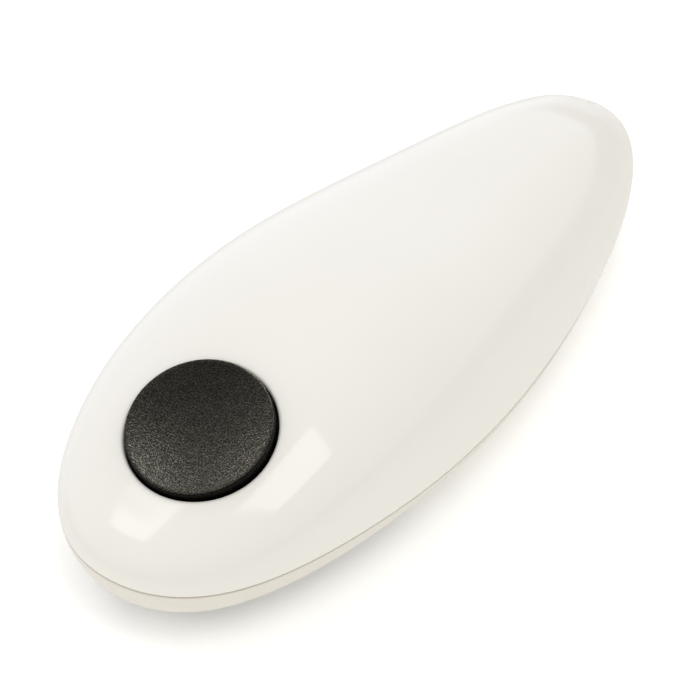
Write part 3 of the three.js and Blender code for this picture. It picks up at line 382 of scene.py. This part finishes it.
def set_smooth_by_angle(mesh, degrees):
    bm = bmesh.new()
    bm.from_mesh(mesh)
    limit = math.radians(degrees)
    for edge in bm.edges:
        edge.smooth = len(edge.link_faces) == 2 and edge.calc_face_angle(0) < limit
    for face in bm.faces:
        face.smooth = True
    bm.to_mesh(mesh)
    bm.free()


# ---------------------------------------------------------------- top cover


def dome_with_hole(bm, rings, hole_radius, rows):
    """Adds a dome with a round hole on the button's axis; returns its rim's loop and the hole's.

    The faces near the hole are replaced by triangles between their border and rings of points
    round the hole, which are dropped along the button's axis onto the whole dome.
    """
    loops = add_rings(bm, rings)
    axes = button_frame()
    inverse = axes.inverted()
    whole = bmesh.new()
    add_rings(whole, rings)
    clean(whole)
    tree = BVHTree.FromBMesh(whole)
    whole.free()

    def near_hole(face):
        centre = inverse @ face.calc_center_median()
        return math.hypot(centre.x, centre.y) < hole_radius + HOLE_MARGIN and centre.z > HOLE_DEPTH

    def flat_key(vert):
        local = inverse @ vert.co
        return round(local.x, 4), round(local.y, 4)

    dome_faces = dict.fromkeys(f for loop in loops for v in loop for f in v.link_faces)
    doomed = [face for face in dome_faces if near_hole(face)]
    edge_count = {}
    for face in doomed:
        for edge in face.edges:
            edge_count[edge] = edge_count.get(edge, 0) + 1
    border = [e for e, n in edge_count.items() if n == 1 and len(e.link_faces) == 2]
    indices = {}
    flat, pairs = [], []
    for v in dict.fromkeys(v for e in border for v in e.verts):
        key = flat_key(v)
        if key not in indices:
            indices[key] = len(flat)
            flat.append((Vector(key), v))
    for e in border:
        start, end = (indices[flat_key(v)] for v in e.verts)
        if start != end:
            pairs.append((start, end))
    border_pairs = list(pairs)
    hole_start = len(flat)
    pairs += [(hole_start + i, hole_start + (i + 1) % HOLE_STEPS) for i in range(HOLE_STEPS)]
    for row in range(rows):
        radius = hole_radius + HOLE_ROW_PITCH * row
        for i in range(HOLE_STEPS):
            turn = 2 * math.pi * (i + 0.5 * (row % 2)) / HOLE_STEPS
            flat.append((Vector((radius * math.cos(turn), radius * math.sin(turn))), None))

    points = [point for point, _ in flat]
    out, _, triangles, sources, _, _ = delaunay_2d_cdt(points, pairs, [], 0, 1e-6)
    axis = axes.to_3x3() @ Vector((0, 0, 1))
    verts = []
    hole_loop = [None] * HOLE_STEPS
    for point, source in zip(out, sources):
        vert = flat[source[0]][1] if source else None
        if vert is None:
            origin = axes @ Vector((point.x, point.y, HOLE_REACH))
            vert = bm.verts.new(tree.ray_cast(origin, -axis)[0])
        verts.append(vert)
        if source and hole_start <= source[0] < hole_start + HOLE_STEPS:
            hole_loop[source[0] - hole_start] = vert
    bmesh.ops.delete(bm, geom=doomed, context="FACES_KEEP_BOUNDARY")
    ring_limit = math.cos(math.pi / HOLE_STEPS) * hole_radius
    inside_border = border_test(points, border_pairs)
    for triangle in triangles:
        middle = sum((out[i] for i in triangle), Vector((0, 0))) / len(triangle)
        if middle.length < ring_limit or not inside_border(middle):
            continue
        corners = [verts[i] for i in triangle]
        if len(set(corners)) == 3 and bm.faces.get(corners) is None:
            bm.faces.new(corners)
    return loops[0], hole_loop


def border_test(points, pairs):
    """A test for a flat point being inside the closed loop that the pairs of points make."""
    edges = [(points[a], points[b]) for a, b in pairs]

    def inside(point):
        crossings = 0
        for a, b in edges:
            if (a.y > point.y) != (b.y > point.y):
                reach = a.x + (point.y - a.y) * (b.x - a.x) / (b.y - a.y)
                crossings += reach > point.x
        return crossings % 2 == 1

    return inside


def top_cover(material):
    bm = bmesh.new()
    edge = SEAM_GAP / 2
    outer_rim, outer_hole = dome_with_hole(bm, dome_rings(0), HOLE_RADIUS + HOLE_LIP, rows=4)
    inner_rim, inner_hole = dome_with_hole(bm, dome_rings(COVER_WALL), HOLE_RADIUS, rows=3)

    def above_seam(rise):
        return lambda at: at.seam + edge + rise

    def up_wall(share):
        def height(at):
            start = at.seam + edge + COVER_LIP_TOP
            return start + (at.rim - at.seam - edge - COVER_LIP_TOP) * share

        return height

    wall = [wall_ring(above_seam(rise), inset) for rise, inset in COVER_LIP]
    wall += [wall_ring(up_wall(k / COVER_ROWS), 0) for k in range(COVER_ROWS)]
    loops = add_rings(bm, wall)
    join_loops(bm, inner_rim, loops[0])
    join_loops(bm, loops[-1], outer_rim)

    axes = button_frame()
    inverse = axes.inverted()
    previous = outer_hole
    for k in range(1, HOLE_LIP_ROWS + 1):
        current = []
        for vert in outer_hole:
            start = inverse @ vert.co
            turn = math.atan2(start.y, start.x)
            bore = Vector((math.cos(turn), math.sin(turn), 0)) * HOLE_RADIUS
            control = bore + Vector((0, 0, start.z + HOLE_LIP_LIFT))
            end = bore + Vector((0, 0, start.z - HOLE_LIP))
            current.append(bm.verts.new(axes @ curve(start, control, end, k / HOLE_LIP_ROWS)))
        join_loops(bm, previous, current)
        previous = current
    join_loops(bm, previous, inner_hole)
    clean(bm)
    bmesh.ops.recalc_face_normals(bm, faces=bm.faces)
    piece = place(bm, "cover_shell", ROUND_PIECE)
    finish_piece(piece, "body", material, ["top_cover"])


# ---------------------------------------------------------------- button


def button(material):
    face = BUTTON_RADIUS - BUTTON_EDGE

    def dish(radius):
        return BUTTON_RIM - BUTTON_DISH * (1 - (radius / face) ** 2)

    radii = [face * k / DISH_RINGS for k in range(DISH_RINGS + 1)]
    dished = [(radius, dish(radius)) for radius in radii]
    brim = (BUTTON_RADIUS - BUTTON_DRAFT, BUTTON_RIM + BUTTON_DRAFT)
    skirt_foot = (BUTTON_RADIUS, BUTTON_SKIRT_FOOT)
    edge = rounded([dished[-1], brim, skirt_foot], BUTTON_EDGE_ROUNDING, steps=7)
    flange = BUTTON_RADIUS + FLANGE_WIDTH
    inside = BUTTON_RADIUS - BUTTON_SKIRT_WALL
    below = [
        skirt_foot,
        (flange, BUTTON_SKIRT_FOOT),
        (flange, FLANGE_FOOT),
        (inside, FLANGE_FOOT),
        (inside, BUTTON_CEILING),
        (BUTTON_POST_RADIUS, BUTTON_CEILING),
        (BUTTON_POST_RADIUS, BUTTON_POST_FOOT),
        (0, BUTTON_POST_FOOT),
    ]
    below = rounded(below, FLANGE_ROUNDING, steps=3)
    bm = lathe(dished[:-1] + edge[:-1] + below, steps=144)
    bmesh.ops.recalc_face_normals(bm, faces=bm.faces)
    bmesh.ops.transform(bm, matrix=button_frame(), verts=bm.verts)
    piece = place(bm, "push_button", ROUND_PIECE)
    finish_piece(piece, "button", material, ["button_cap"])
    return piece


def return_spring(material):
    """A wire wound about the button's axis, with its foot on the body and its top on the button."""
    low, high = SPRING_SPAN[0] + SPRING_WIRE, SPRING_SPAN[1] - SPRING_WIRE
    steps = SPRING_TURNS * SPRING_STEPS
    turns = [2 * math.pi * k / WIRE_SIDES for k in range(WIRE_SIDES)]
    bm = bmesh.new()
    loops = []
    for i in range(steps + 1):
        angle = 2 * math.pi * SPRING_TURNS * i / steps
        climb = smoothed(i / steps) * SPRING_FLATNESS + i / steps * (1 - SPRING_FLATNESS)
        outward = Vector((math.cos(angle), math.sin(angle), 0))
        middle = outward * SPRING_RADIUS + Vector((0, 0, mix((low, high), climb)))
        section = [outward * math.cos(a) + Vector((0, 0, math.sin(a))) for a in turns]
        loops.append([bm.verts.new(middle + way * SPRING_WIRE) for way in section])
    for lower, upper in zip(loops, loops[1:]):
        for k in range(WIRE_SIDES):
            bm.faces.new((lower[k], lower[k - 1], upper[k - 1], upper[k]))
    bm.faces.new(loops[0])
    bm.faces.new(reversed(loops[-1]))
    bmesh.ops.recalc_face_normals(bm, faces=bm.faces)
    bmesh.ops.transform(bm, matrix=button_frame(), verts=bm.verts)
    piece = place(bm, "return_spring", ROUND_PIECE)
    piece.data.materials.append(material)
    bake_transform(piece)
    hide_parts("button_spring")


# ---------------------------------------------------------------- lower casing and door


def rounded_block(span_x, span_y, span_z, radius, segments=3):
    bm = bmesh.new()
    bmesh.ops.create_cube(bm, size=1)
    spans = (span_x, span_y, span_z)
    bmesh.ops.scale(bm, vec=[high - low for low, high in spans], verts=bm.verts)
    bmesh.ops.translate(bm, vec=[(low + high) / 2 for low, high in spans], verts=bm.verts)
    if radius > 0:
        edges = list(bm.edges)
        bmesh.ops.bevel(
            bm, geom=edges, offset=radius, segments=segments, profile=0.5, affect="EDGES"
        )
    bmesh.ops.recalc_face_normals(bm, faces=bm.faces)
    return bm


def carve(bm, steps):
    """Applies booleans in order, each an (operation, mesh) pair, and returns the result."""
    piece = add_object(bm, "carved")
    for operation, other_bm in steps:
        other = add_object(other_bm, "boolean_tool")
        modifier = piece.modifiers.new("cut", "BOOLEAN")
        modifier.operation = operation
        modifier.solver = "EXACT"
        modifier.object = other
        bpy.context.view_layer.update()
        result = bpy.data.meshes.new_from_object(
            piece.evaluated_get(bpy.context.evaluated_depsgraph_get())
        )
        piece.modifiers.clear()
        piece.data = result
        bpy.data.objects.remove(other)
    carved = bmesh.new()
    carved.from_mesh(piece.data)
    bpy.data.objects.remove(piece)
    clean(carved)
    return carved


def screw_cylinder(x, y, measures):
    """Upright, from (radius, low, high) with the heights above the casing's underside."""
    radius, low, high = measures
    profile = [(0, BASE + low), (radius, BASE + low), (radius, BASE + high), (0, BASE + high)]
    bm = lathe(profile, steps=40)
    bmesh.ops.translate(bm, vec=(x, y, 0), verts=bm.verts)
    bmesh.ops.recalc_face_normals(bm, faces=bm.faces)
    return bm


def ring_block(rings):
    """A closed solid from loops that start and end as flat caps."""
    bm = bmesh.new()
    loops = add_rings(bm, rings)
    clean(bm)
    for loop in (loops[0], loops[-1]):
        bm.faces.new([v for v in loop if v.is_valid])
    bmesh.ops.recalc_face_normals(bm, faces=bm.faces)
    return bm


def casing_rings():
    """Loops up the casing's outside, over its lip and tongue, and down to its floor."""
    edge = SEAM_GAP / 2

    def level(height):
        return lambda at: height

    def up_wall(share):
        def height(at):
            rise = at.seam - edge - CASING_LIP - CASING_FOOT_TOP
            return CASING_FOOT_TOP + rise * share

        return height

    lip_drop, lip_inset = CASING_LIP_EDGE
    return [
        *[wall_ring(level(height), inset) for height, inset in CASING_FOOT],
        *[wall_ring(up_wall(k / CASING_ROWS), 0) for k in range(CASING_ROWS + 1)],
        wall_ring(lambda at: at.seam - edge - lip_drop, lip_inset),
        wall_ring(lambda at: at.seam - edge, CASING_LIP_INSET),
        wall_ring(lambda at: at.seam - edge, TONGUE_INSET),
        wall_ring(lambda at: at.seam + TONGUE_HEIGHT, TONGUE_INSET),
        wall_ring(lambda at: at.seam + TONGUE_HEIGHT, CASING_WALL),
        wall_ring(level(FLOOR), CASING_WALL),
    ]


def casing_mouth():
    """The opening for the mechanism plate: the body's outline moved in, cut square at both ends."""

    def plate_outline(height):
        return ring(lambda t, side: (*outline(t, side, PLATE_INSET - SEAM_GAP), BASE + height))

    mouth = ring_block([plate_outline(height) for height in MOUTH_SPAN])
    start, end = MECHANISM_SPAN
    for x, keep in ((start - SEAM_GAP, 1), (end + SEAM_GAP, -1)):
        geometry = list(mouth.verts) + list(mouth.edges) + list(mouth.faces)
        cut = bmesh.ops.bisect_plane(
            mouth, geom=geometry, plane_co=(x, 0, 0), plane_no=(keep, 0, 0), clear_inner=True
        )
        loose = [g for g in cut["geom_cut"] if isinstance(g, bmesh.types.BMEdge)]
        bmesh.ops.edgeloop_fill(mouth, edges=loose)
    bmesh.ops.recalc_face_normals(mouth, faces=mouth.faces)
    return mouth


def lower_casing(material):
    start, end = COMPARTMENT
    outside = (-COMPARTMENT_HALF_WIDTH, COMPARTMENT_HALF_WIDTH)
    inside = (outside[0] + COMPARTMENT_WALL, outside[1] - COMPARTMENT_WALL)
    inner_start, inner_end = start + COMPARTMENT_WALL, end - COMPARTMENT_WALL
    block = rounded_block((start, end), outside, (0, COMPARTMENT_TOP), COMPARTMENT_ROUNDING)
    room = rounded_block((inner_start, inner_end), inside, (-1, COMPARTMENT_CEILING), 0)
    slot = rounded_block((inner_start, end + 1), inside, (-1, DOOR_THICKNESS + SEAM_GAP), 0)
    steps = [
        ("UNION", block),
        ("DIFFERENCE", room),
        ("DIFFERENCE", slot),
        ("DIFFERENCE", casing_mouth()),
    ]
    for x, y in CASING_SCREWS:
        steps.append(("UNION", screw_cylinder(x, y, SCREW_BOSS)))
        steps.append(("DIFFERENCE", screw_cylinder(x, y, SCREW_RECESS)))
        steps.append(("DIFFERENCE", screw_cylinder(x, y, SCREW_BORE)))
    piece = place(carve(ring_block(casing_rings()), steps), "casing_shell", BOXY_PIECE)
    finish_piece(piece, "body", material, ["lower_casing"])


def battery_door(material):
    start, end = COMPARTMENT
    inner = COMPARTMENT_HALF_WIDTH - COMPARTMENT_WALL - SEAM_GAP
    low = start + COMPARTMENT_WALL + SEAM_GAP
    panel = rounded_block((low, end), (-inner, inner), (0, DOOR_THICKNESS), DOOR_ROUNDING)
    width = (-GROOVE_HALF_LENGTH, GROOVE_HALF_LENGTH)
    steps = []
    for i in range(GROOVES):
        x = end - GROOVES_START + GROOVE_PITCH * i
        run = (x, x + GROOVE_WIDTH)
        groove = rounded_block(run, width, GROOVE_SPAN, GROOVE_ROUNDING, segments=2)
        steps.append(("DIFFERENCE", groove))
    piece = place(carve(panel, steps), "door_panel", BOXY_PIECE)
    finish_piece(piece, "door", material, ["battery_door"])


# ---------------------------------------------------------------- small pieces with softened edges

FLAT_ANGLE = math.radians(0.8)   # faces that meet below this are joined
SHARP_ANGLE = math.radians(38)   # edges above this are rounded


def softened(node, width):
    """A copy of a CAD node with its flat faces joined and its sharp edges rounded."""
    source = frame["nodes"][node]
    bm = bmesh.new()
    bm.from_mesh(source.data)
    bmesh.ops.remove_doubles(bm, verts=bm.verts, dist=1e-6)
    bmesh.ops.dissolve_limit(
        bm, angle_limit=FLAT_ANGLE, verts=bm.verts, edges=bm.edges, delimit=set()
    )
    sharp = [e for e in bm.edges if len(e.link_faces) == 2 and e.calc_face_angle(0) > SHARP_ANGLE]
    bmesh.ops.bevel(
        bm,
        geom=sharp,
        offset=width * MM,
        offset_type="OFFSET",
        segments=2,
        profile=0.5,
        affect="EDGES",
        clamp_overlap=True,
    )
    bmesh.ops.recalc_face_normals(bm, faces=bm.faces)
    piece = add_object(bm, node + "_soft")
    set_smooth_by_angle(piece.data, BOXY_PIECE)
    slot = SLOTS[node]
    finish_piece(piece, source["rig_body"], MATERIALS[slot], [node])


# ---------------------------------------------------------------- materials

NOISE_RANGE = (0.3, 0.7)        # where most of a noise's values lie
SLEEVE_END = (0.0232, 0.0234)   # metres from the middle of a cell


def link_or_set(links, socket, value):
    if isinstance(value, tuple):
        socket.default_value = (*value, 1)
    elif isinstance(value, (int, float)):
        socket.default_value = value
    else:
        links.new(value, socket)


class Nodes:
    """Short ways to add and link the nodes of a tree."""

    def __init__(self, tree):
        self.nodes = tree.nodes
        self.links = tree.links

    def spread(self, value, low, high, source=NOISE_RANGE, interpolation="LINEAR"):
        """Maps the source range to low..high."""
        node = self.nodes.new("ShaderNodeMapRange")
        node.interpolation_type = interpolation
        node.inputs["From Min"].default_value = source[0]
        node.inputs["From Max"].default_value = source[1]
        node.inputs["To Min"].default_value = low
        node.inputs["To Max"].default_value = high
        self.links.new(value, node.inputs["Value"])
        return node.outputs["Result"]

    def math(self, operation, a, b):
        node = self.nodes.new("ShaderNodeMath")
        node.operation = operation
        for socket, value in zip(node.inputs, (a, b)):
            link_or_set(self.links, socket, value)
        return node.outputs["Value"]

    def dot(self, vector, axis):
        node = self.nodes.new("ShaderNodeVectorMath")
        node.operation = "DOT_PRODUCT"
        self.links.new(vector, node.inputs[0])
        node.inputs[1].default_value = axis
        return node.outputs["Value"]

    def blend(self, factor, a, b):
        node = self.nodes.new("ShaderNodeMix")
        node.data_type = "RGBA"
        self.links.new(factor, node.inputs["Factor"])
        for socket, value in zip([s for s in node.inputs if s.type == "RGBA"], (a, b)):
            link_or_set(self.links, socket, value)
        return next(s for s in node.outputs if s.type == "RGBA")


class Material(Nodes):
    """A material whose colour, roughness and bump vary over the surface."""

    def __init__(self, name, **shader):
        self.material = bpy.data.materials.new(name)
        self.material.use_nodes = True
        super().__init__(self.material.node_tree)
        self.shader = self.nodes["Principled BSDF"]
        for socket, value in shader.items():
            self.shader.inputs[socket.replace("_", " ")].default_value = value
        self.place = self.nodes.new("ShaderNodeTexCoord").outputs["Object"]

    def noise(self, scale, detail, roughness=0.5, place=None):
        node = self.nodes.new("ShaderNodeTexNoise")
        node.inputs["Scale"].default_value = scale
        node.inputs["Detail"].default_value = detail
        node.inputs["Roughness"].default_value = roughness
        self.links.new(place or self.place, node.inputs["Vector"])
        return node.outputs["Fac"]

    def cells(self, scale):
        node = self.nodes.new("ShaderNodeTexVoronoi")
        node.inputs["Scale"].default_value = scale
        self.links.new(self.place, node.inputs["Vector"])
        return node.outputs["Distance"]

    def stretched(self, scale):
        node = self.nodes.new("ShaderNodeMapping")
        node.inputs["Scale"].default_value = scale
        self.links.new(self.place, node.inputs["Vector"])
        return node.outputs["Vector"]

    def shades(self, value, low, high):
        """Runs from one colour to another over the usual range of a noise."""
        node = self.nodes.new("ShaderNodeValToRGB")
        elements = node.color_ramp.elements
        for element, position, colour in zip(elements, NOISE_RANGE, (low, high)):
            element.position = position
            element.color = (*colour, 1)
        self.links.new(value, node.inputs["Fac"])
        return node.outputs["Color"]

    def facing(self, axis):
        """How far the surface faces along an axis of its object."""
        geometry = self.nodes.new("ShaderNodeNewGeometry")
        return self.dot(geometry.outputs["True Normal"], axis)

    def colour(self, value):
        self.links.new(value, self.shader.inputs["Base Color"])

    def rough(self, value):
        self.links.new(value, self.shader.inputs["Roughness"])

    def bump(self, height, strength, distance):
        node = self.nodes.new("ShaderNodeBump")
        node.inputs["Strength"].default_value = strength
        node.inputs["Distance"].default_value = distance
        self.links.new(height, node.inputs["Height"])
        self.links.new(node.outputs["Normal"], self.shader.inputs["Normal"])


def tint(colour, factor):
    return tuple(min(c * factor, 1.0) for c in colour)


def glossy_plastic(name, colour, roughness):
    m = Material(name, IOR=1.5)
    broad = m.noise(scale=14, detail=4)
    m.colour(m.shades(broad, tint(colour, 0.985), tint(colour, 1.015)))
    fine = m.noise(scale=900, detail=2)
    haze = m.noise(scale=60, detail=5, roughness=0.6)
    broad_roughness = m.spread(haze, roughness * 0.8, roughness * 1.25)
    m.rough(m.math("ADD", broad_roughness, m.spread(fine, 0, 0.006)))
    m.bump(m.noise(scale=260, detail=2), strength=0.04, distance=0.00003)
    return m.material


def moulded_plastic(name, colour, roughness, grain=1800.0, depth=0.00004):
    m = Material(name, IOR=1.49)
    broad = m.noise(scale=40, detail=4)
    m.colour(m.shades(broad, tint(colour, 0.88), tint(colour, 1.12)))
    m.rough(m.spread(m.noise(scale=120, detail=4), roughness * 0.85, roughness * 1.15))
    m.bump(m.noise(scale=grain, detail=3), strength=0.5, distance=depth)
    return m.material


def button_material():
    """Leather grain on the face only: the bump and the wear fade where the surface turns away."""
    m = Material("black_grained_button", IOR=1.45)
    pebbles = m.cells(scale=2600)
    warped = m.noise(scale=2700, detail=3, roughness=0.6)
    grain = m.math("ADD", m.math("MULTIPLY", pebbles, 0.9), warped)
    glint = m.spread(warped, 0.025, 0.17, source=(0.44, 0.66))
    m.links.new(glint, m.shader.inputs["Specular IOR Level"])
    axis = (-math.sin(BUTTON_TILT), 0, math.cos(BUTTON_TILT))
    upward = m.spread(m.facing(axis), 0, 1, source=(0.9, 0.97))
    broad = m.noise(scale=45, detail=4)
    dark = m.shades(broad, (0.0014, 0.0013, 0.0011), (0.002, 0.0018, 0.0015))
    worn = m.shades(broad, (0.0015, 0.0014, 0.0011), (0.0024, 0.0022, 0.0018))
    m.colour(m.blend(upward, dark, worn))
    m.rough(m.spread(m.noise(scale=300, detail=3), 0.29, 0.32))
    m.bump(m.math("MULTIPLY", grain, upward), strength=1.0, distance=0.000032)
    return m.material


def metal(name, colour, roughness, brushed=(40, 900, 900)):
    m = Material(name, Metallic=1.0)
    streaks = m.noise(scale=1.0, detail=4, roughness=0.6, place=m.stretched(brushed))
    m.colour(m.shades(streaks, tint(colour, 0.85), tint(colour, 1.1)))
    m.rough(m.spread(streaks, roughness * 0.75, roughness * 1.3))
    m.bump(streaks, strength=0.12, distance=0.00003)
    return m.material


def cell_jacket():
    """Green sleeve with a bare metal ring at each end of the cell."""
    m = Material("cell_jacket", IOR=1.5, Coat_Weight=0.3)
    split = m.nodes.new("ShaderNodeSeparateXYZ")
    m.links.new(m.place, split.inputs[0])
    low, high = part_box("cell_1")
    middle = (low.x + high.x) / 2
    reach = m.math("ABSOLUTE", m.math("SUBTRACT", split.outputs["X"], middle), 0)
    bare = m.spread(reach, 0, 1, source=SLEEVE_END)
    wave = m.noise(scale=70, detail=3)
    sleeve = m.shades(wave, (0.02, 0.10, 0.055), (0.028, 0.125, 0.07))
    steel = m.shades(wave, (0.5, 0.5, 0.48), (0.62, 0.61, 0.58))
    m.colour(m.blend(bare, sleeve, steel))
    m.links.new(bare, m.shader.inputs["Metallic"])
    m.rough(m.spread(m.noise(scale=200, detail=3), 0.25, 0.38))
    m.bump(m.noise(scale=150, detail=2), strength=0.1, distance=0.00005)
    return m.material


COVER_COLOUR = (0.86, 0.84, 0.795)
CASING_COLOUR = (0.79, 0.755, 0.68)

MATERIALS = {
    "white_gloss": glossy_plastic("white_gloss", COVER_COLOUR, 0.08),
    "white_satin": glossy_plastic("white_satin", CASING_COLOUR, 0.39),
    "black_grained": button_material(),
    "black_plastic": moulded_plastic("black_plastic", (0.022, 0.022, 0.024), 0.42),
    "grey_plastic": moulded_plastic("grey_plastic", (0.33, 0.34, 0.36), 0.5),
    "natural_acetal": moulded_plastic("natural_acetal", (0.8, 0.77, 0.69), 0.38, 600.0, 0.00002),
    "red_plastic": moulded_plastic("red_plastic", (0.42, 0.03, 0.022), 0.4),
    "cell_jacket": cell_jacket(),
    "dark_steel": metal("dark_steel", (0.22, 0.22, 0.235), 0.36),
    "steel": metal("steel", (0.6, 0.61, 0.63), 0.27),
    "spring_steel": metal("spring_steel", (0.52, 0.53, 0.55), 0.3, (300, 300, 300)),
    "nickel": metal("nickel", (0.66, 0.645, 0.6), 0.22),
    "bronze": metal("bronze", (0.52, 0.33, 0.15), 0.34),
}
SLOTS = {part["node"]: part["material_slot"] for part in frame["record"]["subparts"]}

for node, slot in SLOTS.items():
    mesh = frame["nodes"][node].data
    mesh.materials.clear()
    mesh.materials.append(MATERIALS[slot])
    set_smooth_by_angle(mesh, CAD_PIECE)

top_cover(MATERIALS["white_gloss"])
lower_casing(MATERIALS["white_satin"])
battery_door(MATERIALS["white_satin"])
push_button = button(MATERIALS["black_grained"])
return_spring(MATERIALS["spring_steel"])

SOFTENED = {
    "cutter_guard": 0.35,
    "magnet_holder": 0.3,
    "lid_magnet": 0.25,
    "mechanism_plate": 0.2,
    "drive_wheel": 0.12,
    "cutter_carrier": 0.15,
}
for node, width in SOFTENED.items():
    softened(node, width)

# ---------------------------------------------------------------- stage, light and camera

AZIMUTH = math.radians(52.19)
ELEVATION = math.radians(46.12)
DISTANCE = 1.465
TARGET = Vector((0, 0, 0.027))
SHIFT_RIGHT, SHIFT_UP = -0.00273, -0.00904
LENS = 314.3

RIGHT = Vector((math.cos(AZIMUTH), -math.sin(AZIMUTH), 0))
FORWARD = Vector((math.sin(AZIMUTH), math.cos(AZIMUTH), 0))
UP = FORWARD * math.sin(ELEVATION) + Vector((0, 0, math.cos(ELEVATION)))
TOWARDS_CAMERA = Vector((0, 0, math.sin(ELEVATION))) - FORWARD * math.cos(ELEVATION)

# the light tent's colours, and the directions in which its sides lie
NEAR_WALL = (0.72, 0.707, 0.655)
FAR_WALL = (1.12, 1.13, 1.20)
CEILING = (0.98, 0.975, 0.965)
LOW_BAND = (0.70, 0.69, 0.62)
DARK_STRIP = (0.32, 0.315, 0.27)
LEFT_BAND = (0.50, 0.49, 0.44)
TABLE = (0.83, 0.82, 0.78)
FAR_SIDE = FORWARD * 0.95 - RIGHT * 0.3
RIGHT_SIDE = RIGHT * 0.9 + FORWARD * 0.2
LEFT_SIDE = FORWARD * -0.5 - RIGHT * 0.87

WINDOW_COLOUR = (1, 0.99, 0.97)
WINDOWS = (                     # name, place, size and power; they face down
    ("window_far", (-0.32, 0.69, 1.5), (0.22, 0.3), 0.5),
    ("window_near", (-0.07, -0.37, 1.5), (0.5, 0.72), 2.5),
)
SHEEN_AIM = Vector((-0.06, 0, 0.037))
SHEEN_DISTANCE = 1.5
SHEEN_SIZE = (0.2, 0.2)
SHEEN_COLOUR = (1, 0.95, 0.80)
SHEENS = (                      # name, direction from the aim, and power
    ("left_sheen", (0.41, 0.32, 0.85), 84.0),
    ("right_sheen", (0.10, 0.82, 0.56), 56.0),
)


def camera():
    data = bpy.data.cameras.new("camera")
    data.lens = LENS
    data.sensor_width = 36
    data.clip_start = 0.05
    data.clip_end = 50
    piece = bpy.data.objects.new("camera", data)
    target = TARGET + RIGHT * SHIFT_RIGHT + UP * SHIFT_UP
    turn = Matrix((RIGHT, UP, TOWARDS_CAMERA)).transposed().to_4x4()
    piece.matrix_world = Matrix.Translation(target + TOWARDS_CAMERA * DISTANCE) @ turn
    bpy.context.scene.collection.objects.link(piece)
    bpy.context.scene.camera = piece


def floor():
    """A pale disc, left out of reflections so that the body's outline reads against it."""
    bm = bmesh.new()
    bmesh.ops.create_circle(bm, cap_ends=True, segments=96, radius=2.5)
    bmesh.ops.recalc_face_normals(bm, faces=bm.faces)
    piece = add_object(bm, "studio_floor")
    m = Material("studio_floor", Roughness=0.9, Specular_IOR_Level=0.1, Emission_Strength=0.22)
    m.shader.inputs["Emission Color"].default_value = (1, 1, 1, 1)
    m.colour(m.shades(m.noise(scale=3, detail=3), (0.94, 0.94, 0.94), (0.96, 0.96, 0.96)))
    piece.data.materials.append(m.material)
    piece.visible_glossy = False


def area_light(name, location, size, power, colour):
    """A rectangular light that faces down."""
    data = bpy.data.lights.new(name, "AREA")
    data.shape = "RECTANGLE"
    data.size, data.size_y = size
    data.energy = power
    data.color = colour
    light = bpy.data.objects.new(name, data)
    light.location = location
    bpy.context.scene.collection.objects.link(light)
    return light


def sheen_light(name, direction, power, lit):
    """A light aimed at the button, which reaches one piece only."""
    location = SHEEN_AIM + Vector(direction) * SHEEN_DISTANCE
    light = area_light(name, location, SHEEN_SIZE, power, SHEEN_COLOUR)
    light.rotation_euler = (SHEEN_AIM - location).to_track_quat("-Z", "Y").to_euler()
    group = bpy.data.collections.new(name + "_lit")
    group.objects.link(lit)
    light.light_linking.receiver_collection = group


def studio_world():
    """A light tent with a bright far wall, warmer near walls and darker low bands at both sides."""
    world = bpy.data.worlds.new("studio")
    world.use_nodes = True
    bpy.context.scene.world = world
    tree = Nodes(world.node_tree)
    direction = tree.nodes.new("ShaderNodeTexCoord").outputs["Generated"]
    split = tree.nodes.new("ShaderNodeSeparateXYZ")
    tree.links.new(direction, split.inputs[0])

    def fade(value, start, end):
        """Rises smoothly from 0 where the value is at the start to 1 where it is at the end."""
        return tree.spread(value, 0, 1, source=(start, end), interpolation="SMOOTHSTEP")

    def up(start, end):
        """By the sine of the height above the horizon."""
        return fade(split.outputs["Z"], start, end)

    def towards(axis, start, end):
        """By about the cosine of the angle to an axis."""
        return fade(tree.dot(direction, axis), start, end)

    def overlap(a, b):
        return tree.math("MULTIPLY", a, b)

    tent = tree.blend(towards(FAR_SIDE, -0.3, 0.7), NEAR_WALL, FAR_WALL)
    tent = tree.blend(up(0.35, 0.95), tent, CEILING)
    tent = tree.blend(overlap(up(0.34, 0.16), towards(RIGHT_SIDE, 0.1, 0.6)), tent, LOW_BAND)
    strip = overlap(up(0.32, 0.22), up(-0.1, 0.1))
    tent = tree.blend(overlap(strip, towards(RIGHT_SIDE, 0.1, 0.5)), tent, DARK_STRIP)
    tent = tree.blend(overlap(up(0.3, 0.05), towards(LEFT_SIDE, 0.2, 0.8)), tent, LEFT_BAND)
    tent = tree.blend(up(-0.2, -0.5), tent, TABLE)
    tree.links.new(tent, tree.nodes["Background"].inputs["Color"])


camera()
floor()
studio_world()
for name, location, size, power in WINDOWS:
    area_light(name, location, size, power, WINDOW_COLOUR)
for name, direction, power in SHEENS:
    sheen_light(name, direction, power, push_button)
bpy.context.scene.view_settings.view_transform = "Standard"
